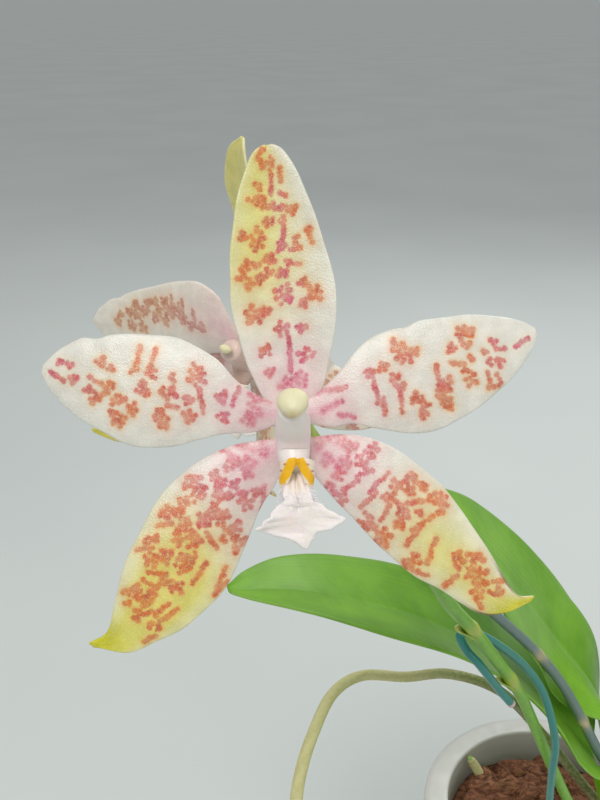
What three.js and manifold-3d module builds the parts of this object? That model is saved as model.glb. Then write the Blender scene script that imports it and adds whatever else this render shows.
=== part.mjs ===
// A potted Phalaenopsis hieroglyphica in bloom, in millimetres, +Z up.
// The origin is the middle of the pot's underside, and the flowers face the front, -Y.

import * as THREE from "three";
import { mergeVertices } from "three/addons/utils/BufferGeometryUtils.js";
import Module from "manifold-3d";

const wasm = await Module();
wasm.setup();

// Driving dimensions

const GAP = 0.3;
const WELD = 1e-4;
const HOLE = { wider: 0.42, deeper: 0.6 };

const POT = {
  height: 95,
  baseRadius: 36,
  neckRadius: 43.5,
  rimRadius: 52,
  rimHeight: 9,
  wall: 1.6,
  base: 2.2,
  corner: 1.4,
  segments: 40,
};

const DRAIN_HOLES = { count: 6, radius: 4.5, circle: 24, sides: 12 };

const BARK = {
  level: 81,
  crown: 2,
  chips: 34,
  chipLength: [12, 21],
  chipWidth: [8, 13],
  chipThickness: [4, 6.5],
  chipSides: 4,
  chipTaper: 0.84,
  chipTilt: 31.5,
  chipRise: 2.5,
  margin: 1,
  seed: 11,
};

const STEM = {
  x: 26,
  y: -6,
  bottom: 62,
  top: 126,
  radii: [[0, 5.2], [0.6, 5.2], [0.8, 4], [1, 2.6]],
  scar: 0.3,
  scars: 8,
  sides: 10,
};

// A leaf's channel has its edges lifted by channelPower, spread by spreadPower, and opens out
// from its base over the first openOver of its length.
const LEAF = {
  thickness: 1.6,
  rows: 18,
  columns: 4,
  channelPower: 1.4,
  spreadPower: 0.4,
  openOver: 0.4,
};

// cupWidth is the half-width at which a tepal's cup is as deep as stated.
const TEPAL = { thickness: 0.7, rows: 14, columns: 4, cupWidth: 8, twistOver: 0.5 };

const FRONT_FLOWER = { centre: [-105, -154.2, 344.3], turn: 0, rise: 24, roll: 0 };
const REAR_FLOWER = { centre: [-114, -109.5, 339.6], turn: 30, rise: -5.5, roll: -6.5 };

const FINISH = {
  pot: { color: 0xd9dbd6, roughness: 0.45 },
  bark: { color: 0x7a4a33, roughness: 0.95 },
  stem: { color: 0x6f8f2f, roughness: 0.6 },
  leaf: { color: 0x5fa31f, roughness: 0.35 },
  root: { color: 0xc9c596, roughness: 0.7 },
  spike: { color: 0x86a83a, roughness: 0.5 },
  oldSpike: { color: 0x6d7478, roughness: 0.6 },
  wire: { color: 0x1f6b5e, roughness: 0.4 },
  petal: { color: 0xf3e9e2, roughness: 0.5 },
  rearPetal: { color: 0xe9d9cc, roughness: 0.5 },
  column: { color: 0xf6e6ea, roughness: 0.5 },
  antherCap: { color: 0xe8e2b0, roughness: 0.5 },
  lip: { color: 0xf8f1f4, roughness: 0.6 },
  lipLobes: { color: 0xf2b40a, roughness: 0.5 },
};

// Small helpers

const vector = ([x, y, z]) => new THREE.Vector3(x, y, z);
const radians = THREE.MathUtils.degToRad;
const mix = THREE.MathUtils.lerp;
const GOLDEN_ANGLE = Math.PI * (3 - Math.sqrt(5));

/** A repeatable stream of numbers from 0 to 1. */
function seededRandom(seed) {
  let state = seed;
  return () => {
    state = (state * 16807) % 2147483647;
    return state / 2147483647;
  };
}

/** A smooth value between stations, each [where, value, ...]; column picks the value. */
function along(stations, where, column = 1) {
  let i = 0;
  while (i < stations.length - 2 && where > stations[i + 1][0]) {
    i += 1;
  }
  const [a, b] = [stations[i], stations[i + 1]];
  const before = stations[Math.max(i - 1, 0)];
  const after = stations[Math.min(i + 2, stations.length - 1)];
  const span = b[0] - a[0];
  const t = THREE.MathUtils.clamp((where - a[0]) / span, 0, 1);
  const slope = (p, q) => ((q[column] - p[column]) / Math.max(q[0] - p[0], 1e-6)) * span;
  const [m0, m1] = [slope(before, b), slope(a, after)];
  const [t2, t3] = [t * t, t * t * t];
  return (
    (2 * t3 - 3 * t2 + 1) * a[column] +
    (t3 - 2 * t2 + t) * m0 +
    (3 * t2 - 2 * t3) * b[column] +
    (t3 - t2) * m1
  );
}

/** A smooth curve through a list of points. */
function route(points) {
  return new THREE.CatmullRomCurve3(points.map(vector), false, "catmullrom", 0.5);
}

/** Turns rings of points, all of one length, into a closed skin with a flat fan at each end. */
function skinOfRings(rings) {
  const size = rings[0].length;
  const positions = rings.flat().flatMap((p) => [p.x, p.y, p.z]);
  const index = [];
  for (let i = 0; i < rings.length - 1; i += 1) {
    for (let j = 0; j < size; j += 1) {
      const k = (j + 1) % size;
      const [a, b] = [i * size + j, i * size + k];
      const [c, d] = [a + size, b + size];
      index.push(a, b, d, a, d, c);
    }
  }
  const last = (rings.length - 1) * size;
  for (let j = 1; j < size - 1; j += 1) {
    index.push(0, j + 1, j);
    index.push(last, last + j, last + j + 1);
  }
  const geometry = new THREE.BufferGeometry();
  geometry.setAttribute("position", new THREE.Float32BufferAttribute(positions, 3));
  geometry.setIndex(index);
  return geometry;
}

/** A round stalk along a route, with its radius given at stations from 0 to 1. */
function stalk({ points, radii, steps, sides = 8 }) {
  const curve = route(points);
  const heading = curve.getTangent(0);
  const nearlyParallel = 0.3;
  const side = new THREE.Vector3(0, 1, 0).cross(heading);
  if (side.length() < nearlyParallel) {
    side.set(1, 0, 0).cross(heading);
  }
  side.normalize();
  const rings = [];
  for (let i = 0; i <= steps; i += 1) {
    const t = i / steps;
    const tangent = curve.getTangent(t);
    side.applyQuaternion(new THREE.Quaternion().setFromUnitVectors(heading, tangent));
    heading.copy(tangent);
    const up = new THREE.Vector3().crossVectors(tangent, side).normalize();
    const centre = curve.getPoint(t);
    const radius = along(radii, t);
    const ring = [];
    for (let j = 0; j < sides; j += 1) {
      const angle = (j / sides) * Math.PI * 2;
      const point = centre.clone().addScaledVector(side, Math.cos(angle) * radius);
      ring.push(point.addScaledVector(up, Math.sin(angle) * radius));
    }
    rings.push(ring);
  }
  return skinOfRings(rings);
}

/**
 * A thin closed blade. pointAt(u, v) gives its middle surface, with u from 0 at its base to 1 at
 * its tip and v from -1 to 1 across; both faces are split into triangles alike.
 */
function blade(pointAt, { rows, columns, thickness }) {
  const crowding = 0.6;
  const step = 1e-3;
  const rowAt = (i) => mix(i / rows, (1 - Math.cos((Math.PI * i) / rows)) / 2, crowding);
  const faces = [[], []];
  for (let i = 0; i <= rows; i += 1) {
    for (let j = 0; j <= columns; j += 1) {
      const [u, v] = [rowAt(i), (2 * j) / columns - 1];
      const alongBlade = pointAt(Math.min(u + step, 1), v).sub(pointAt(Math.max(u - step, 0), v));
      const across = pointAt(u, Math.min(v + step, 1)).sub(pointAt(u, Math.max(v - step, -1)));
      const normal = across.cross(alongBlade).normalize();
      const middle = pointAt(u, v);
      faces[0].push(middle.clone().addScaledVector(normal, thickness / 2));
      faces[1].push(middle.clone().addScaledVector(normal, -thickness / 2));
    }
  }
  const size = columns + 1;
  const under = (rows + 1) * size;
  const index = [];
  for (let i = 0; i < rows; i += 1) {
    for (let j = 0; j < columns; j += 1) {
      const a = i * size + j;
      const [b, c, d] = [a + 1, a + size, a + size + 1];
      index.push(a, b, d, a, d, c);
      index.push(under + a, under + d, under + b, under + a, under + c, under + d);
    }
  }
  const edge = [];
  for (let j = 0; j < columns; j += 1) {
    edge.push(j);
  }
  for (let i = 0; i < rows; i += 1) {
    edge.push(i * size + columns);
  }
  for (let j = columns; j > 0; j -= 1) {
    edge.push(rows * size + j);
  }
  for (let i = rows; i > 0; i -= 1) {
    edge.push(i * size);
  }
  edge.forEach((a, k) => {
    const b = edge[(k + 1) % edge.length];
    index.push(a, under + a, under + b, a, under + b, b);
  });
  const geometry = new THREE.BufferGeometry();
  const positions = faces.flat().flatMap((p) => [p.x, p.y, p.z]);
  geometry.setAttribute("position", new THREE.Float32BufferAttribute(positions, 3));
  geometry.setIndex(index);
  return geometry;
}

/** A solid turned about the upright axis; the profile holds [radius, height] pairs. */
function turned(profile, segments) {
  const points = profile.map(([radius, height]) => new THREE.Vector2(radius, height));
  return new THREE.LatheGeometry(points, segments).rotateX(Math.PI / 2);
}

/** The same shape with shared corners and no triangle without area. */
function welded(geometry) {
  const bare = geometry.clone();
  bare.deleteAttribute("normal");
  bare.deleteAttribute("uv");
  const merged = mergeVertices(bare, WELD);
  const source = merged.index.array;
  const kept = [];
  for (let i = 0; i < source.length; i += 3) {
    const [a, b, c] = source.slice(i, i + 3);
    if (a !== b && b !== c && c !== a) {
      kept.push(a, b, c);
    }
  }
  merged.setIndex(kept);
  return merged;
}

function solidOf(geometry) {
  const mesh = welded(geometry);
  return new wasm.Manifold(
    new wasm.Mesh({
      numProp: 3,
      vertProperties: new Float32Array(mesh.attributes.position.array),
      triVerts: new Uint32Array(mesh.index.array),
    }),
  );
}

/** The largest body of a solid, with its sealed hollows filled and loose scraps dropped. */
function geometryOf(solid) {
  const bodies = solid.decompose();
  const largest = bodies.reduce((a, b) => (b.volume() > a.volume() ? b : a));
  const mesh = largest.getMesh();
  const geometry = new THREE.BufferGeometry();
  geometry.setAttribute("position", new THREE.BufferAttribute(mesh.vertProperties, 3));
  geometry.setIndex(new THREE.BufferAttribute(mesh.triVerts, 1));
  return geometry;
}

function joined(geometries) {
  return geometries.map(solidOf).reduce((a, b) => a.add(b));
}

function part(name, geometry, finish) {
  const material = new THREE.MeshStandardMaterial({ ...finish, metalness: 0 });
  const mesh = new THREE.Mesh(geometry, material);
  mesh.name = name;
  return mesh;
}

// Pot

function makePot() {
  const { height, baseRadius, neckRadius, rimRadius, rimHeight, wall, base, corner } = POT;
  const shoulder = height - rimHeight;
  const profile = [
    [0, 0],
    [baseRadius - corner, 0],
    [baseRadius, corner],
    [neckRadius, shoulder],
    [rimRadius - corner, shoulder],
    [rimRadius, shoulder + corner],
    [rimRadius, height - 2 * corner],
    [rimRadius - corner, height - corner / 2],
    [rimRadius - 2 * corner, height],
    [neckRadius, height],
    [neckRadius - wall, height - corner],
    [neckRadius - wall, shoulder],
    [baseRadius - wall, base],
    [0, base],
  ];
  let pot = solidOf(turned(profile, POT.segments));
  for (let i = 0; i < DRAIN_HOLES.count; i += 1) {
    const angle = ((i + 0.5) / DRAIN_HOLES.count) * Math.PI * 2;
    const drill = new THREE.CylinderGeometry(
      DRAIN_HOLES.radius,
      DRAIN_HOLES.radius,
      3 * base,
      DRAIN_HOLES.sides,
    );
    drill.rotateX(Math.PI / 2);
    drill.translate(Math.cos(angle) * DRAIN_HOLES.circle, Math.sin(angle) * DRAIN_HOLES.circle, 0);
    pot = pot.subtract(solidOf(drill));
  }
  return part("pot", geometryOf(pot), FINISH.pot);
}

// Bark mix, with a plain hole for each thing that stands in it

function makeBarkMix(standing) {
  const random = seededRandom(BARK.seed);
  const between = ([low, high]) => mix(low, high, random());
  const { baseRadius, neckRadius, height, rimHeight, wall, base } = POT;
  const shoulder = height - rimHeight;
  const radiusAt = (z) => mix(baseRadius, neckRadius, (z - base) / (shoulder - base)) - wall - GAP;
  const core = turned(
    [
      [0, base + GAP],
      [radiusAt(base) - GAP, base + GAP],
      [radiusAt(BARK.level) - GAP, BARK.level],
      [0, BARK.level + BARK.crown],
    ],
    POT.segments,
  );
  const chips = [];
  for (let i = 0; i < BARK.chips; i += 1) {
    const [length, width, thickness] = [
      between(BARK.chipLength),
      between(BARK.chipWidth),
      between(BARK.chipThickness),
    ];
    const chip = new THREE.CylinderGeometry(
      (BARK.chipTaper * width) / 2,
      width / 2,
      length,
      BARK.chipSides,
    );
    chip.scale(1, 1, thickness / width);
    chip.rotateZ(Math.PI / 2);
    chip.rotateY(radians(BARK.chipTilt) * (2 * random() - 1));
    chip.rotateX(radians(BARK.chipTilt) * (2 * random() - 1));
    chip.rotateZ(random() * Math.PI * 2);
    const room = radiusAt(BARK.level) - length / 2 - BARK.margin;
    const distance = Math.sqrt((i + 0.5) / BARK.chips) * room;
    const angle = i * GOLDEN_ANGLE;
    chip.translate(
      Math.cos(angle) * distance,
      Math.sin(angle) * distance,
      BARK.level + BARK.chipRise * random(),
    );
    chips.push(chip);
  }
  let bark = joined([core, ...chips]);
  standing.forEach((hole) => {
    bark = bark.subtract(solidOf(hole));
  });
  return part("bark_mix", geometryOf(bark), FINISH.bark);
}

// Stem, the short crown that carries leaves, spikes and roots

const STEM_STALK = {
  points: [
    [STEM.x, STEM.y, STEM.bottom],
    [STEM.x, STEM.y, mix(STEM.bottom, STEM.top, 0.5)],
    [STEM.x, STEM.y, STEM.top],
  ],
  radii: STEM.radii,
  steps: 2 * STEM.scars,
  sides: STEM.sides,
};

function makeStem() {
  const radii = [];
  for (let i = 0; i <= STEM_STALK.steps; i += 1) {
    const where = i / STEM_STALK.steps;
    radii.push([where, along(STEM.radii, where) - (i % 2) * STEM.scar]);
  }
  return part("stem", stalk({ ...STEM_STALK, radii }), FINISH.stem);
}

// Leaves: each follows its midrib; fold lifts the edges, roll turns the blade about the midrib

const LEAF_OUTLINE = [
  [0, 0.3],
  [0.1, 0.4],
  [0.22, 0.64],
  [0.4, 0.9],
  [0.6, 1],
  [0.78, 0.9],
  [0.9, 0.66],
  [0.97, 0.36],
  [1, 0.1],
];

const LEAVES = {
  leaf_lower_left: {
    midrib: [
      [19, -8.2, 101],
      [14, -11.5, 117],
      [8.5, -14, 134],
      [0, -14, 148],
      [-16, -17, 168],
      [-37, -22, 193],
      [-61, -30, 214],
      [-83, -38, 228],
      [-104, -46, 239],
      [-125, -54, 243],
    ],
    halfWidth: 27,
    fold: [38, 10],
    roll: [[0, 0], [0.15, 0], [0.32, -26], [0.5, -8], [1, 0]],
  },
  leaf_upper_left: {
    midrib: [
      [19.6, -7.5, 113.5],
      [17, -4, 135],
      [10, 1, 157],
      [-9, -6, 189],
      [-24, -14, 212],
      [-37, -21, 231],
      [-51, -30, 249],
      [-71, -43, 270],
    ],
    halfWidth: 27,
    fold: [38, 10],
    roll: [[0, 0], [0.18, 0], [0.35, -40], [0.55, -27], [1, -8]],
  },
  leaf_lower_right: {
    midrib: [
      [32, -4.1, 106],
      [41, -1, 127],
      [58, 4, 155],
      [85, 12, 179],
      [115, 21, 189],
      [143, 30, 186],
      [166, 37, 174],
    ],
    halfWidth: 28,
    fold: [38, 14],
    roll: [[0, 0], [1, 0]],
  },
  leaf_upper_right: {
    midrib: [
      [31, -4.4, 118],
      [37, -2, 141],
      [46, 1, 169],
      [63, 6, 196],
      [86, 14, 213],
      [111, 22, 217],
      [134, 29, 210],
    ],
    halfWidth: 25,
    fold: [38, 14],
    roll: [[0, 0], [1, 0]],
  },
  leaf_young: {
    midrib: [
      [26.5, -5.6, 126.5],
      [28.8, -3, 142],
      [31, 1, 157],
      [34, 7, 170],
      [37, 15, 180],
    ],
    halfWidth: 10,
    fold: [38, 26],
    roll: [[0, 0], [1, 0]],
  },
};

function leafSurface({ midrib, halfWidth, fold, roll }) {
  const curve = route(midrib);
  const heading = vector(midrib.at(-1)).sub(vector(midrib[0])).setZ(0).normalize();
  const level = new THREE.Vector3(-heading.y, heading.x, 0);
  return (u, v) => {
    const tangent = curve.getTangent(u);
    const across = level.clone().applyAxisAngle(tangent, radians(along(roll, u)));
    across.addScaledVector(tangent, -across.dot(tangent)).normalize();
    const inward = new THREE.Vector3().crossVectors(tangent, across).normalize();
    const half = halfWidth * along(LEAF_OUTLINE, u);
    const bend = radians(mix(fold[0], fold[1], Math.min(1, u / LEAF.openOver)));
    const channel = Math.abs(v) ** LEAF.channelPower * Math.sin(bend);
    return curve
      .getPoint(u)
      .addScaledVector(across, v * half * Math.cos(bend * Math.abs(v) ** LEAF.spreadPower))
      .addScaledVector(inward, channel * half);
  };
}

function makeLeaves() {
  return Object.entries(LEAVES).map(([name, leaf]) =>
    part(name, blade(leafSurface(leaf), LEAF), FINISH.leaf),
  );
}

// Roots

const ROOTS = {
  root_aerial_left: {
    points: [
      [21.1, -1.2, 96.5],
      [11, 3, 108],
      [-6, 4, 131],
      [-25, 4, 153],
      [-45, 6, 160],
      [-62, 9, 156],
      [-79, 12, 154],
      [-91, 4, 152],
      [-99, -10, 145],
      [-104, -21, 135],
      [-106, -29, 122],
      [-106, -35, 104],
      [-103, -38, 84],
      [-99, -39, 68],
    ],
    radii: [[0, 1.9], [0.35, 2], [0.6, 2.5], [0.9, 2.8], [0.97, 2.3], [1, 1]],
    steps: 36,
  },
  root_aerial_right: {
    points: [
      [31, -1.5, 97],
      [38, 8, 106],
      [49, 22, 110],
      [60, 34, 104],
      [68, 42, 86],
      [70, 46, 64],
      [67, 48, 44],
    ],
    radii: [[0, 2.4], [0.85, 2.7], [0.96, 2.2], [1, 1]],
    steps: 20,
  },
  root_into_bark: {
    points: [
      [28.8, -10.9, 90],
      [31, -14.7, 89.5],
      [31.2, -18, 86],
      [29.5, -20, 80],
      [28.5, -21, 70],
    ],
    radii: [[0, 2.4], [1, 2.2]],
    steps: 12,
  },
  root_tip_at_rim: {
    points: [
      [-19, 20, 72],
      [-20.5, 22, 82],
      [-24, 25, 90],
      [-27, 27, 94],
    ],
    radii: [[0, 2.2], [0.7, 2.4], [0.92, 2], [1, 1]],
    steps: 8,
  },
};

function makeRoots() {
  return Object.entries(ROOTS).map(([name, root]) => part(name, stalk(root), FINISH.root));
}

// Flower spike with its bracts, and the older spike beside it

const SPIKE = {
  points: [
    [23.1, -12.2, 92.9],
    [15, -22, 101],
    [3, -31, 117],
    [-8, -38, 140],
    [-20, -47, 168],
    [-29, -54, 190],
    [-39, -64, 214],
    [-50, -74, 235],
    [-59, -83, 252],
    [-68, -95, 269],
    [-76, -105, 287],
    [-83, -112, 303],
    [-88, -117, 315],
    [-90, -120, 323],
  ],
  radii: [[0, 2.4], [0.3, 2.4], [0.7, 1.9], [0.95, 1.4], [1, 0.7]],
  steps: 44,
};
const SPIKE_NODES = [0.16, 0.42, 0.62, 0.77, 0.88];

const BRACT = { length: 9, sides: 6, flare: 1.35, sink: 0.75, side: [-1, -0.4, 0] };

const OLD_SPIKE = {
  points: [
    [21.1, -9.1, 107],
    [19.9, -12.8, 116],
    [18.3, -12.8, 126],
    [9.3, -16, 141],
    [0.6, -15, 157.6],
    [-9, -15, 174.7],
    [-21.7, -18.3, 192.3],
    [-36.6, -24.4, 210.5],
    [-44.4, -28, 219.7],
  ],
  radii: [[0, 1.1], [0.1, 1.4], [0.3, 1.9], [1, 1.6]],
  steps: 20,
};

/** A bract that hugs the spike at one of its nodes. */
function bract(where) {
  const curve = route(SPIKE.points);
  const radius = along(SPIKE.radii, where);
  const tangent = curve.getTangent(where);
  const up = new THREE.Vector3(0, 1, 0);
  const cone = new THREE.ConeGeometry(radius * BRACT.flare, BRACT.length, BRACT.sides);
  cone.applyQuaternion(new THREE.Quaternion().setFromUnitVectors(up, tangent));
  const inward = vector(BRACT.side).cross(tangent).cross(tangent).normalize();
  const centre = curve.getPoint(where).addScaledVector(inward, -radius * BRACT.sink);
  return cone.translate(centre.x, centre.y, centre.z);
}

function makeSpike() {
  const spike = joined([stalk(SPIKE), ...SPIKE_NODES.map(bract)]);
  return part("flower_spike", geometryOf(spike), FINISH.spike);
}

function makeOldSpike() {
  return part("old_spike", stalk(OLD_SPIKE), FINISH.oldSpike);
}

// Coated wire that holds the spike up, with its end bent back as a hook

const WIRE = {
  points: [
    [-8, -32, 60],
    [-11, -36.5, 92],
    [-15, -43, 122],
    [-19, -49, 150],
    [-21.5, -53.5, 170],
    [-23, -56, 187],
    [-28.7, -57, 206],
    [-37, -60.5, 220.5],
    [-48, -67.5, 234.5],
    [-56, -72.5, 242.5],
    [-60, -73.5, 242.5],
    [-58, -74.5, 238],
    [-54.2, -75, 233.5],
    [-47.5, -72, 222.5],
    [-42.5, -70, 215],
  ],
  radii: [[0, 1.5], [1, 1.5]],
  steps: 46,
};

function makeWire() {
  return part("wire_support", stalk(WIRE), FINISH.wire);
}

// Flowers. Each is built in its own frame: x to the right and y up as one looks at its face,
// z towards the one who looks, origin where its petals meet.

// Each tepal: start of its axis, length and angle of the axis, then rows of
// [how far along, half-width on the left of the axis, half-width on its right].
// lift gives z at stations along it; cup lifts its edges over its middle.

const DORSAL_OUTLINE = [
  [0, 1.7, 1.7],
  [0.08, 4, 4.2],
  [0.25, 6.3, 6.5],
  [0.42, 7.5, 7.9],
  [0.55, 7.3, 7.5],
  [0.72, 6.2, 6],
  [0.86, 4.4, 4.1],
  [0.95, 2.6, 2.4],
  [1, 0.5, 0.5],
];

const LEFT_PETAL_OUTLINE = [
  [0, 1.3, 1.3],
  [0.1, 3.2, 2.2],
  [0.2, 4, 3.8],
  [0.3, 5.7, 6.3],
  [0.45, 7.9, 8.1],
  [0.57, 8.4, 8],
  [0.72, 7.1, 7],
  [0.85, 5.3, 5.4],
  [0.94, 3.2, 3.4],
  [1, 0.5, 0.5],
];

const RIGHT_PETAL_OUTLINE = [
  [0, 1.3, 1.3],
  [0.08, 2, 3.2],
  [0.18, 3.6, 4],
  [0.28, 6, 6.1],
  [0.38, 7.1, 8],
  [0.5, 7.2, 8.8],
  [0.62, 6.7, 8.1],
  [0.75, 5.6, 6.7],
  [0.87, 4, 4.7],
  [0.95, 2.2, 2.6],
  [1, 0.5, 0.5],
];

const LEFT_LATERAL_OUTLINE = [
  [0, 1.5, 1.5],
  [0.1, 3.1, 4.7],
  [0.2, 4, 6.6],
  [0.33, 5.9, 7.8],
  [0.46, 8, 7.6],
  [0.58, 8.6, 6.2],
  [0.71, 8.1, 4.4],
  [0.82, 6.6, 1.8],
  [0.92, 4.7, -0.3],
  [1, 0.4, 0.4],
];

const RIGHT_LATERAL_OUTLINE = [
  [0, 1.5, 1.5],
  [0.08, 4.2, 2.8],
  [0.18, 6.3, 3.9],
  [0.3, 7, 5],
  [0.44, 6.7, 6.2],
  [0.58, 5.3, 6.8],
  [0.69, 3.4, 6.4],
  [0.79, 1.8, 6.3],
  [0.88, -0.1, 5.9],
  [0.95, -0.7, 3.6],
  [1, 0.4, 0.4],
];

const FRONT_TEPALS = {
  dorsal_sepal: {
    start: [0.1, 1.35],
    length: 40.25,
    angle: 95.4,
    outline: DORSAL_OUTLINE,
    lift: [[0, -1.4], [0.4, -0.4], [0.8, 0.4], [1, 1.4]],
    cup: 1.2,
    twist: [0, 0],
  },
  petal_left: {
    start: [-1.9, 2.1],
    length: 35.9,
    angle: 168.9,
    outline: LEFT_PETAL_OUTLINE,
    lift: [[0, 0.6], [0.3, 1.6], [0.7, 1.2], [1, -1.2]],
    cup: -1,
    twist: [0, 0],
  },
  petal_right: {
    start: [1.4, 2.55],
    length: 36.5,
    angle: 19.1,
    outline: RIGHT_PETAL_OUTLINE,
    lift: [[0, 0.6], [0.3, 1.6], [0.7, 1.2], [1, -1]],
    cup: -1,
    twist: [0, 0],
  },
  lateral_sepal_left: {
    start: [-1.8, -2.4],
    length: 40.6,
    angle: -133.7,
    outline: LEFT_LATERAL_OUTLINE,
    lift: [[0, -0.8], [0.35, 0.6], [0.75, 0.8], [1, -0.8]],
    cup: -1.4,
    twist: [0, 0],
  },
  lateral_sepal_right: {
    start: [1.8, -2.4],
    length: 40.4,
    angle: -33.9,
    outline: RIGHT_LATERAL_OUTLINE,
    lift: [[0, -0.8], [0.35, 0.6], [0.75, 0.8], [1, -0.8]],
    cup: -1.4,
    twist: [0, 0],
  },
};

const REAR_TEPALS = {
  dorsal_sepal: { ...FRONT_TEPALS.dorsal_sepal, angle: 93, twist: [0, 32] },
  petal_left: {
    ...FRONT_TEPALS.petal_left,
    start: [-1.95, 2.1],
    angle: 185.5,
    lift: [[0, 0.6], [0.3, 1.6], [0.7, 1.6], [1, 2]],
  },
  petal_right: { ...FRONT_TEPALS.petal_right, start: [1.75, 2.65], angle: -9 },
  lateral_sepal_left: {
    ...FRONT_TEPALS.lateral_sepal_left,
    angle: -140,
    lift: [[0, -0.8], [0.25, -2.2], [0.5, -1], [0.75, 4], [1, 8.5]],
  },
  lateral_sepal_right: {
    ...FRONT_TEPALS.lateral_sepal_right,
    angle: -72,
    lift: [[0, -1], [0.35, 0.6], [0.75, 0.8], [1, -0.8]],
  },
};

function tepalSurface({ start, length, angle, outline, lift, cup, twist }) {
  const [dx, dy] = [Math.cos(radians(angle)), Math.sin(radians(angle))];
  return (u, v) => {
    const [left, right] = [along(outline, u, 1), along(outline, u, 2)];
    const half = (left + right) / 2;
    const turn = radians(mix(twist[0], twist[1], Math.min(1, u / TEPAL.twistOver)));
    const side = (left - right) / 2 - v * half * Math.cos(turn);
    const [x, y] = [
      start[0] + dx * length * u - dy * side,
      start[1] + dy * length * u + dx * side,
    ];
    const cupping = (cup * v * v * half) / TEPAL.cupWidth;
    return new THREE.Vector3(x, y, along(lift, u) + cupping + v * half * Math.sin(turn));
  };
}

// The column's shaft runs from its foot, which carries the lip, up to the anther cap. Its stub
// goes back between the tepals to the ovary.
const COLUMN = {
  shaft: {
    points: [
      [0.26, -5.49, 3.07],
      [0, -3, 1.3],
      [0, -0.6, 1.9],
      [0, 1.4, 4],
      [0, 2.98, 6.31],
    ],
    radii: [[0, 0.9], [0.25, 1.9], [0.5, 2.3], [0.75, 2.1], [1, 1.9]],
    steps: 10,
  },
  stub: {
    points: [
      [0, -0.5, -2.2],
      [0, -0.5, -0.6],
      [0, -0.5, 1.2],
    ],
    radii: [[0, 1.3], [1, 1.5]],
    steps: 3,
  },
};

const ANTHER_CAP = { centre: [0, 4.1, 8], radii: [2.35, 2.2, 1.7], tilt: 35, rings: 8, sides: 12 };

const LIP = {
  thickness: 0.7,
  rows: 18,
  columns: 4,
  route: [
    [0.3, -5.9, 3.4],
    [0.4, -6.9, 5],
    [0.7, -8.2, 6.5],
    [0.9, -10.4, 7.4],
    [1.2, -12.8, 7.5],
    [1.6, -16.4, 6.6],
  ],
  outline: [
    [0, 0.9],
    [0.3, 1.5],
    [0.5, 2],
    [0.6, 1.9],
    [0.68, 2.8],
    [0.75, 5.4],
    [0.8, 6.5],
    [0.85, 4.6],
    [0.9, 2.6],
    [0.95, 1.3],
    [1, 0.6],
  ],
  keel: 0.8,
  keelWidth: 3,
};

const LIP_LOBES = {
  thickness: 0.7,
  rows: 12,
  columns: 2,
  route: [
    [-1.7, -7.2, 6.3],
    [-1.2, -5.4, 6.1],
    [-0.2, -4, 5.6],
    [0.5, -3.7, 5.5],
    [1.2, -4, 5.6],
    [2.4, -5.4, 6.1],
    [3, -7.1, 6.3],
  ],
  outline: [[0, 0.5], [0.2, 1], [0.5, 0.7], [0.8, 1], [1, 0.5]],
};

function lipSurface() {
  const curve = route(LIP.route);
  return (u, v) => {
    const half = along(LIP.outline, u);
    const point = curve.getPoint(u);
    const tangent = curve.getTangent(u);
    const outward = new THREE.Vector3(1, 0, 0).cross(tangent).normalize();
    point.x -= v * half;
    return point.addScaledVector(outward, LIP.keel * (1 - v * v) * Math.min(1, half / LIP.keelWidth));
  };
}

function lipLobesSurface() {
  const curve = route(LIP_LOBES.route);
  return (u, v) => {
    const point = curve.getPoint(u);
    point.z += v * along(LIP_LOBES.outline, u);
    return point;
  };
}

function antherCapGeometry() {
  const cap = new THREE.SphereGeometry(1, ANTHER_CAP.sides, ANTHER_CAP.rings);
  cap.scale(...ANTHER_CAP.radii);
  cap.rotateX(-radians(ANTHER_CAP.tilt));
  return cap.translate(...ANTHER_CAP.centre);
}

/** A flower's frame, placed and turned, as nested groups. */
function flowerFrame({ centre, turn, rise, roll }) {
  const place = new THREE.Group();
  place.position.set(...centre);
  place.rotation.z = -radians(turn);
  const tilted = new THREE.Group();
  tilted.rotation.x = radians(90 - rise);
  const face = new THREE.Group();
  face.rotation.z = radians(roll);
  place.add(tilted);
  tilted.add(face);
  place.updateMatrixWorld(true);
  return { place, face };
}

/** A whole flower; every name in it ends in the same word. */
function makeFlower(word, placement, tepals, petalFinish) {
  const { place, face } = flowerFrame(placement);
  Object.entries(tepals).forEach(([name, tepal]) => {
    face.add(part(`${name}_${word}`, blade(tepalSurface(tepal), TEPAL), petalFinish));
  });
  const column = joined([stalk(COLUMN.shaft), stalk(COLUMN.stub)]);
  face.add(
    part(`column_${word}`, geometryOf(column), FINISH.column),
    part(`anther_cap_${word}`, antherCapGeometry(), FINISH.antherCap),
    part(`lip_${word}`, blade(lipSurface(), LIP), FINISH.lip),
    part(`lip_side_lobes_${word}`, blade(lipLobesSurface(), LIP_LOBES), FINISH.lipLobes),
  );
  return place;
}

// Pedicels. Each starts behind its flower's column as the ovary and ends at the spike.

const PEDICELS = {
  pedicel_front: {
    flower: FRONT_FLOWER,
    rest: [
      [-104.6, -146, 340],
      [-103, -139, 334.5],
      [-99.5, -132, 328],
      [-94.5, -125, 320],
      [-89, -117.9, 310.8],
    ],
  },
  pedicel_rear: {
    flower: REAR_FLOWER,
    rest: [
      [-107, -101.5, 339],
      [-100, -98, 333],
      [-93, -99, 323],
      [-87, -103.5, 313],
      [-83.5, -109.2, 303.2],
    ],
  },
};
const OVARY = { radii: [[0, 1.5], [0.25, 1.8], [0.5, 1.4], [1, 1.2]], straight: 3, steps: 14 };

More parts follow.
